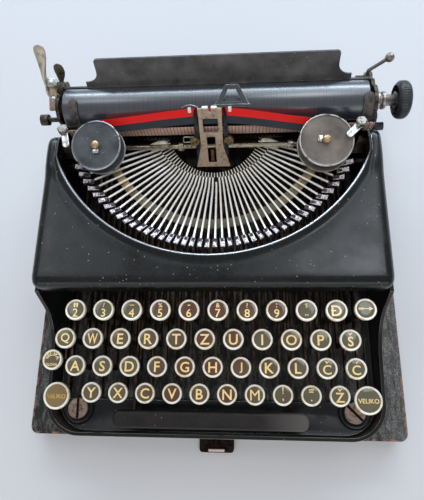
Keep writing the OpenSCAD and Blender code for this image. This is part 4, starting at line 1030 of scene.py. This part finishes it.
# Paper scale: a thin strip enamelled red-tan in front of the platen, ruled at the spacing of the type.
# Below it lies the dark toothed bar of the margin stops.
rule_half, rule_w = 1.27, 0.22
scale_tan, tree, shader, place = finish("ruled_tan_enamel", "#a07a66", 0.45)
axes = add(tree, "ShaderNodeSeparateXYZ", {"Vector": place})
pitch = add(tree, "ShaderNodeMath", {0: axes.outputs[0], 1: rule_half * mm}, operation="PINGPONG")
rule = add(tree, "ShaderNodeMath", {0: pitch.outputs[0], 1: rule_w * mm}, operation="LESS_THAN")
rub = add(tree, "ShaderNodeTexNoise", {"Vector": place, "Scale": 1 / (7 * mm), "Detail": 5.0})
strip = add(tree, "ShaderNodeMix", {0: rub.outputs["Fac"], 6: lin("#bd8f7e"), 7: lin("#d8b9a8")},
            data_type="RGBA")
ruled = add(tree, "ShaderNodeMix", {0: rule.outputs[0], 6: strip.outputs[2], 7: lin("#4d3128")},
            data_type="RGBA")
join(tree, shader, {"Base Color": ruled.outputs[2]})
rounded_copy("paper_scale", 0.2, scale_tan)
dress_solids(frame_steel, "margin_rack")

# Paper fingers and feed roller: two thin bent steel fingers hold the paper to the platen from the front.
# Rubber rollers press it from below.
# Enamel over spring steel: black, mottled with tan; its edges carry no edge mark, so none of them shows bare.
finger_steel = worn_enamel("mottled_finger_enamel", "#2b2a2b", "#6e675f", "#c9c2b6", 0.36, 4, 0.7, 0.95, 0.9)
platen_y, platen_z, platen_r = 95.2, 99.5, 14.2


def finger_shell(x, wide, tip, foot_z):
    """Thin strip bent round the front of the platen, its upper end cut round, its foot straight down."""
    near, thick, steps = 0.25, 0.6, 22
    line = [(radians(tip) * (1 - k / steps), None) for k in range(steps + 1)] + [(0.0, foot_z)]
    long = radians(tip) * platen_r
    rings = []
    for a, z in line:
        to_tip = long - a * platen_r
        half = wide / 2
        if to_tip < half:
            half = max(0.2, sqrt(half ** 2 - (half - to_tip) ** 2))
        ring = []
        for side, r in ((-1, near), (1, near), (1, near + thick), (-1, near + thick)):
            r += platen_r
            ring.append((x + side * half, platen_y - r * cos(a), platen_z + r * sin(a) if z is None else z))
        rings.append(ring)
    return skin(rings)


fingers = [finger_shell(-99.0, 6.2, 86, 88.0), finger_shell(110.4, 7.2, 80, 88.0)]
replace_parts(piece("paper_finger_strips", fingers, finger_steel, "platen_carrier"), "paper_fingers")
dress_solids(foot_rubber, "feed_roller")


# Levers of the carriage: line-space lever with a spoon end, paper release paddle, release rod with a ball
# and a bent detent lever, all pressed or turned steel, nickelled where the hand goes.
def forged_lever(stations, steps=20):
    """Shell of a forged lever: stations of place, half width across and half thickness."""
    rings = []
    for k, (x, y, z, across, thick) in enumerate(stations):
        before, after = stations[max(k - 1, 0)], stations[min(k + 1, len(stations) - 1)]
        run = Vector((0, after[1] - before[1], after[2] - before[2])).normalized()
        normal = Vector((0, -run.z, run.y))
        turns = [2 * pi * i / steps for i in range(steps)]
        rings.append([Vector((x + across * cos(a), y, z)) + normal * thick * sin(a) for a in turns])
    return skin(rings)


def lever_hub(x, y, z, r, thick):
    """Round boss of a lever about the X axis, with soft edges."""
    at = Matrix.Translation((x, y, z)) @ Matrix.Rotation(pi / 2, 4, "Y")
    half = thick / 2
    profile = [(r - 0.5, -half), (r, 0.4 - half), (r, half - 0.4), (r - 0.5, half), (0.05, half + 0.1)]
    return turned(profile, at, 32)


# Dulled nickel: warm grey and softly bright, with brown tarnish in the hollows.
spoon_nickel = stained_finish("dulled_spoon_nickel", "#d3cabb", "#93846f", 0.34, 6, 0.35, 0.7)
arm_x = -121.4
spoon = [(arm_x, 108.6, 108.0, 1.2, 4.0), (arm_x, 110.2, 112.5, 1.3, 3.5),
         (arm_x + 0.1, 112.2, 117.0, 1.6, 2.8), (arm_x + 0.5, 114.4, 120.6, 2.2, 1.9),
         (arm_x + 1.0, 116.8, 124.0, 3.0, 1.2), (arm_x + 1.3, 119.4, 127.4, 3.8, 0.95),
         (arm_x + 1.4, 121.8, 130.6, 4.3, 0.9), (arm_x + 1.4, 123.3, 132.7, 3.9, 0.85),
         (arm_x + 1.4, 124.2, 133.9, 2.7, 0.75), (arm_x + 1.4, 124.6, 134.4, 1.0, 0.5)]
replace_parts(piece("return_lever_forging", [forged_lever(spoon), lever_hub(arm_x, 108.5, 106.0, 5.2, 2.4)],
                  spoon_nickel, "return_lever", 50), "return_lever")
# Bronzed steel: brown-grey, rubbed lighter on the face of the paddle.
paddle_steel = stained_finish("bronzed_paddle_steel", "#6e6457", "#3b342d", 0.38, 4, 0.4, 0.8)
leaf_x = -115.0
leaf = [(leaf_x, 116.7, 98.5, 1.0, 2.2), (leaf_x, 117.6, 101.5, 1.3, 1.8),
        (leaf_x + 0.7, 118.6, 104.2, 2.2, 1.1), (leaf_x + 1.5, 119.5, 107.2, 3.2, 0.8),
        (leaf_x + 1.9, 120.5, 110.6, 3.9, 0.7), (leaf_x + 1.9, 121.4, 113.6, 3.8, 0.7),
        (leaf_x + 1.9, 122.0, 115.6, 3.0, 0.65), (leaf_x + 1.9, 122.3, 116.6, 1.8, 0.55),
        (leaf_x + 1.9, 122.4, 117.0, 0.7, 0.4)]
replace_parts(piece("paper_release_paddle", [forged_lever(leaf), lever_hub(leaf_x, 116.5, 97.0, 4.5, 2.0)],
                  paddle_steel, "paper_release_lever", 50), "paper_release_lever")
rounded_copy("carriage_release_lever", 0.3, nut_steel)
rounded_copy("detent_lever", 0.35, knob_black)

# Spring drum and escape wheel: brass wheels under the carriage that pull it and let it step.
# Both are dulled by oil.
wheel_brass = stained_finish("oily_brass", "#a88f58", "#5f4c2a", 0.4, 6, 0.45)
dress_solids(wheel_brass, "mainspring_drum", "escape_wheel")

# Floor: a plain pale sheet under the board, far wider than the view.
# Matt paper: even, with no gleam, so that the soft shadow shows on it.
floor_half = 3
floor_paper, tree, shader, place = finish("pale_floor", "#cbcbcd", 0.9)
mesh = bpy.data.meshes.new("floor")
corners = [(x * floor_half, y * floor_half, 0) for x, y in ((-1, -1), (1, -1), (1, 1), (-1, 1))]
mesh.from_pydata(corners, [], [(0, 1, 2, 3)])
floor = bpy.data.objects.new("floor", mesh)
bpy.context.scene.collection.objects.link(floor)
mesh.materials.append(floor_paper)

# Light: a dim white room, a wide soft lamp high behind the carriage with a brighter strip below it,
# a lamp over each side, one over the typist that gives no mirror image, and a weak fill from the front.
world = bpy.data.worlds.new("room")
world.use_nodes = True
world.node_tree.nodes["Background"].inputs["Color"].default_value = lin("#f2f5fb")
world.node_tree.nodes["Background"].inputs["Strength"].default_value = 0.3
bpy.context.scene.world = world
aim = Vector((0, 0.03, 0.08))
for name, spot, wide, high, watts, tint in (
        ("back_lamp", (0.1, 1.1, 1.15), 2.4, 1.0, 10.5, "#e9f5ff"),
        ("back_strip", (0.1, 1.3, 0.86), 2.6, 0.22, 19.0, "#d2eaff"),
        ("right_lamp", (0.5, 0.4, 1.6), 0.5, 0.5, 3.2, "#f0f6ff"),
        ("left_lamp", (-0.85, 0.42, 1.6), 0.5, 0.5, 1.9, "#f0f6ff"),
        ("ceiling_lamp", (0.05, -0.45, 1.6), 1.2, 0.4, 11.0, "#ffffff"),
        ("front_fill", (0.0, -1.4, 0.5), 2.0, 0.6, 4.0, "#ffffff")):
    lamp = bpy.data.lights.new(name, "AREA")
    lamp.shape = "RECTANGLE"
    lamp.size = wide
    lamp.size_y = high
    lamp.energy = watts
    lamp.color = lin(tint)[:3]
    light = bpy.data.objects.new(name, lamp)
    light.location = spot
    light.visible_glossy = name != "ceiling_lamp"
    light.rotation_euler = (aim - Vector(spot)).to_track_quat("-Z", "Y").to_euler()
    bpy.context.scene.collection.objects.link(light)

# Camera: held over the keyboard, a little to the right, looking down and forward at the type basket.
lens = bpy.data.cameras.new("camera")
lens.sensor_width = 36.0
lens.lens = 32.43
camera = bpy.data.objects.new("camera", lens)
camera.location = (0.02367, -0.10317, 0.38564)
camera.rotation_euler = (0.2952, 0.0702, 0.0146)
bpy.context.scene.collection.objects.link(camera)
bpy.context.scene.camera = camera
bpy.context.scene.view_settings.view_transform = "Standard"
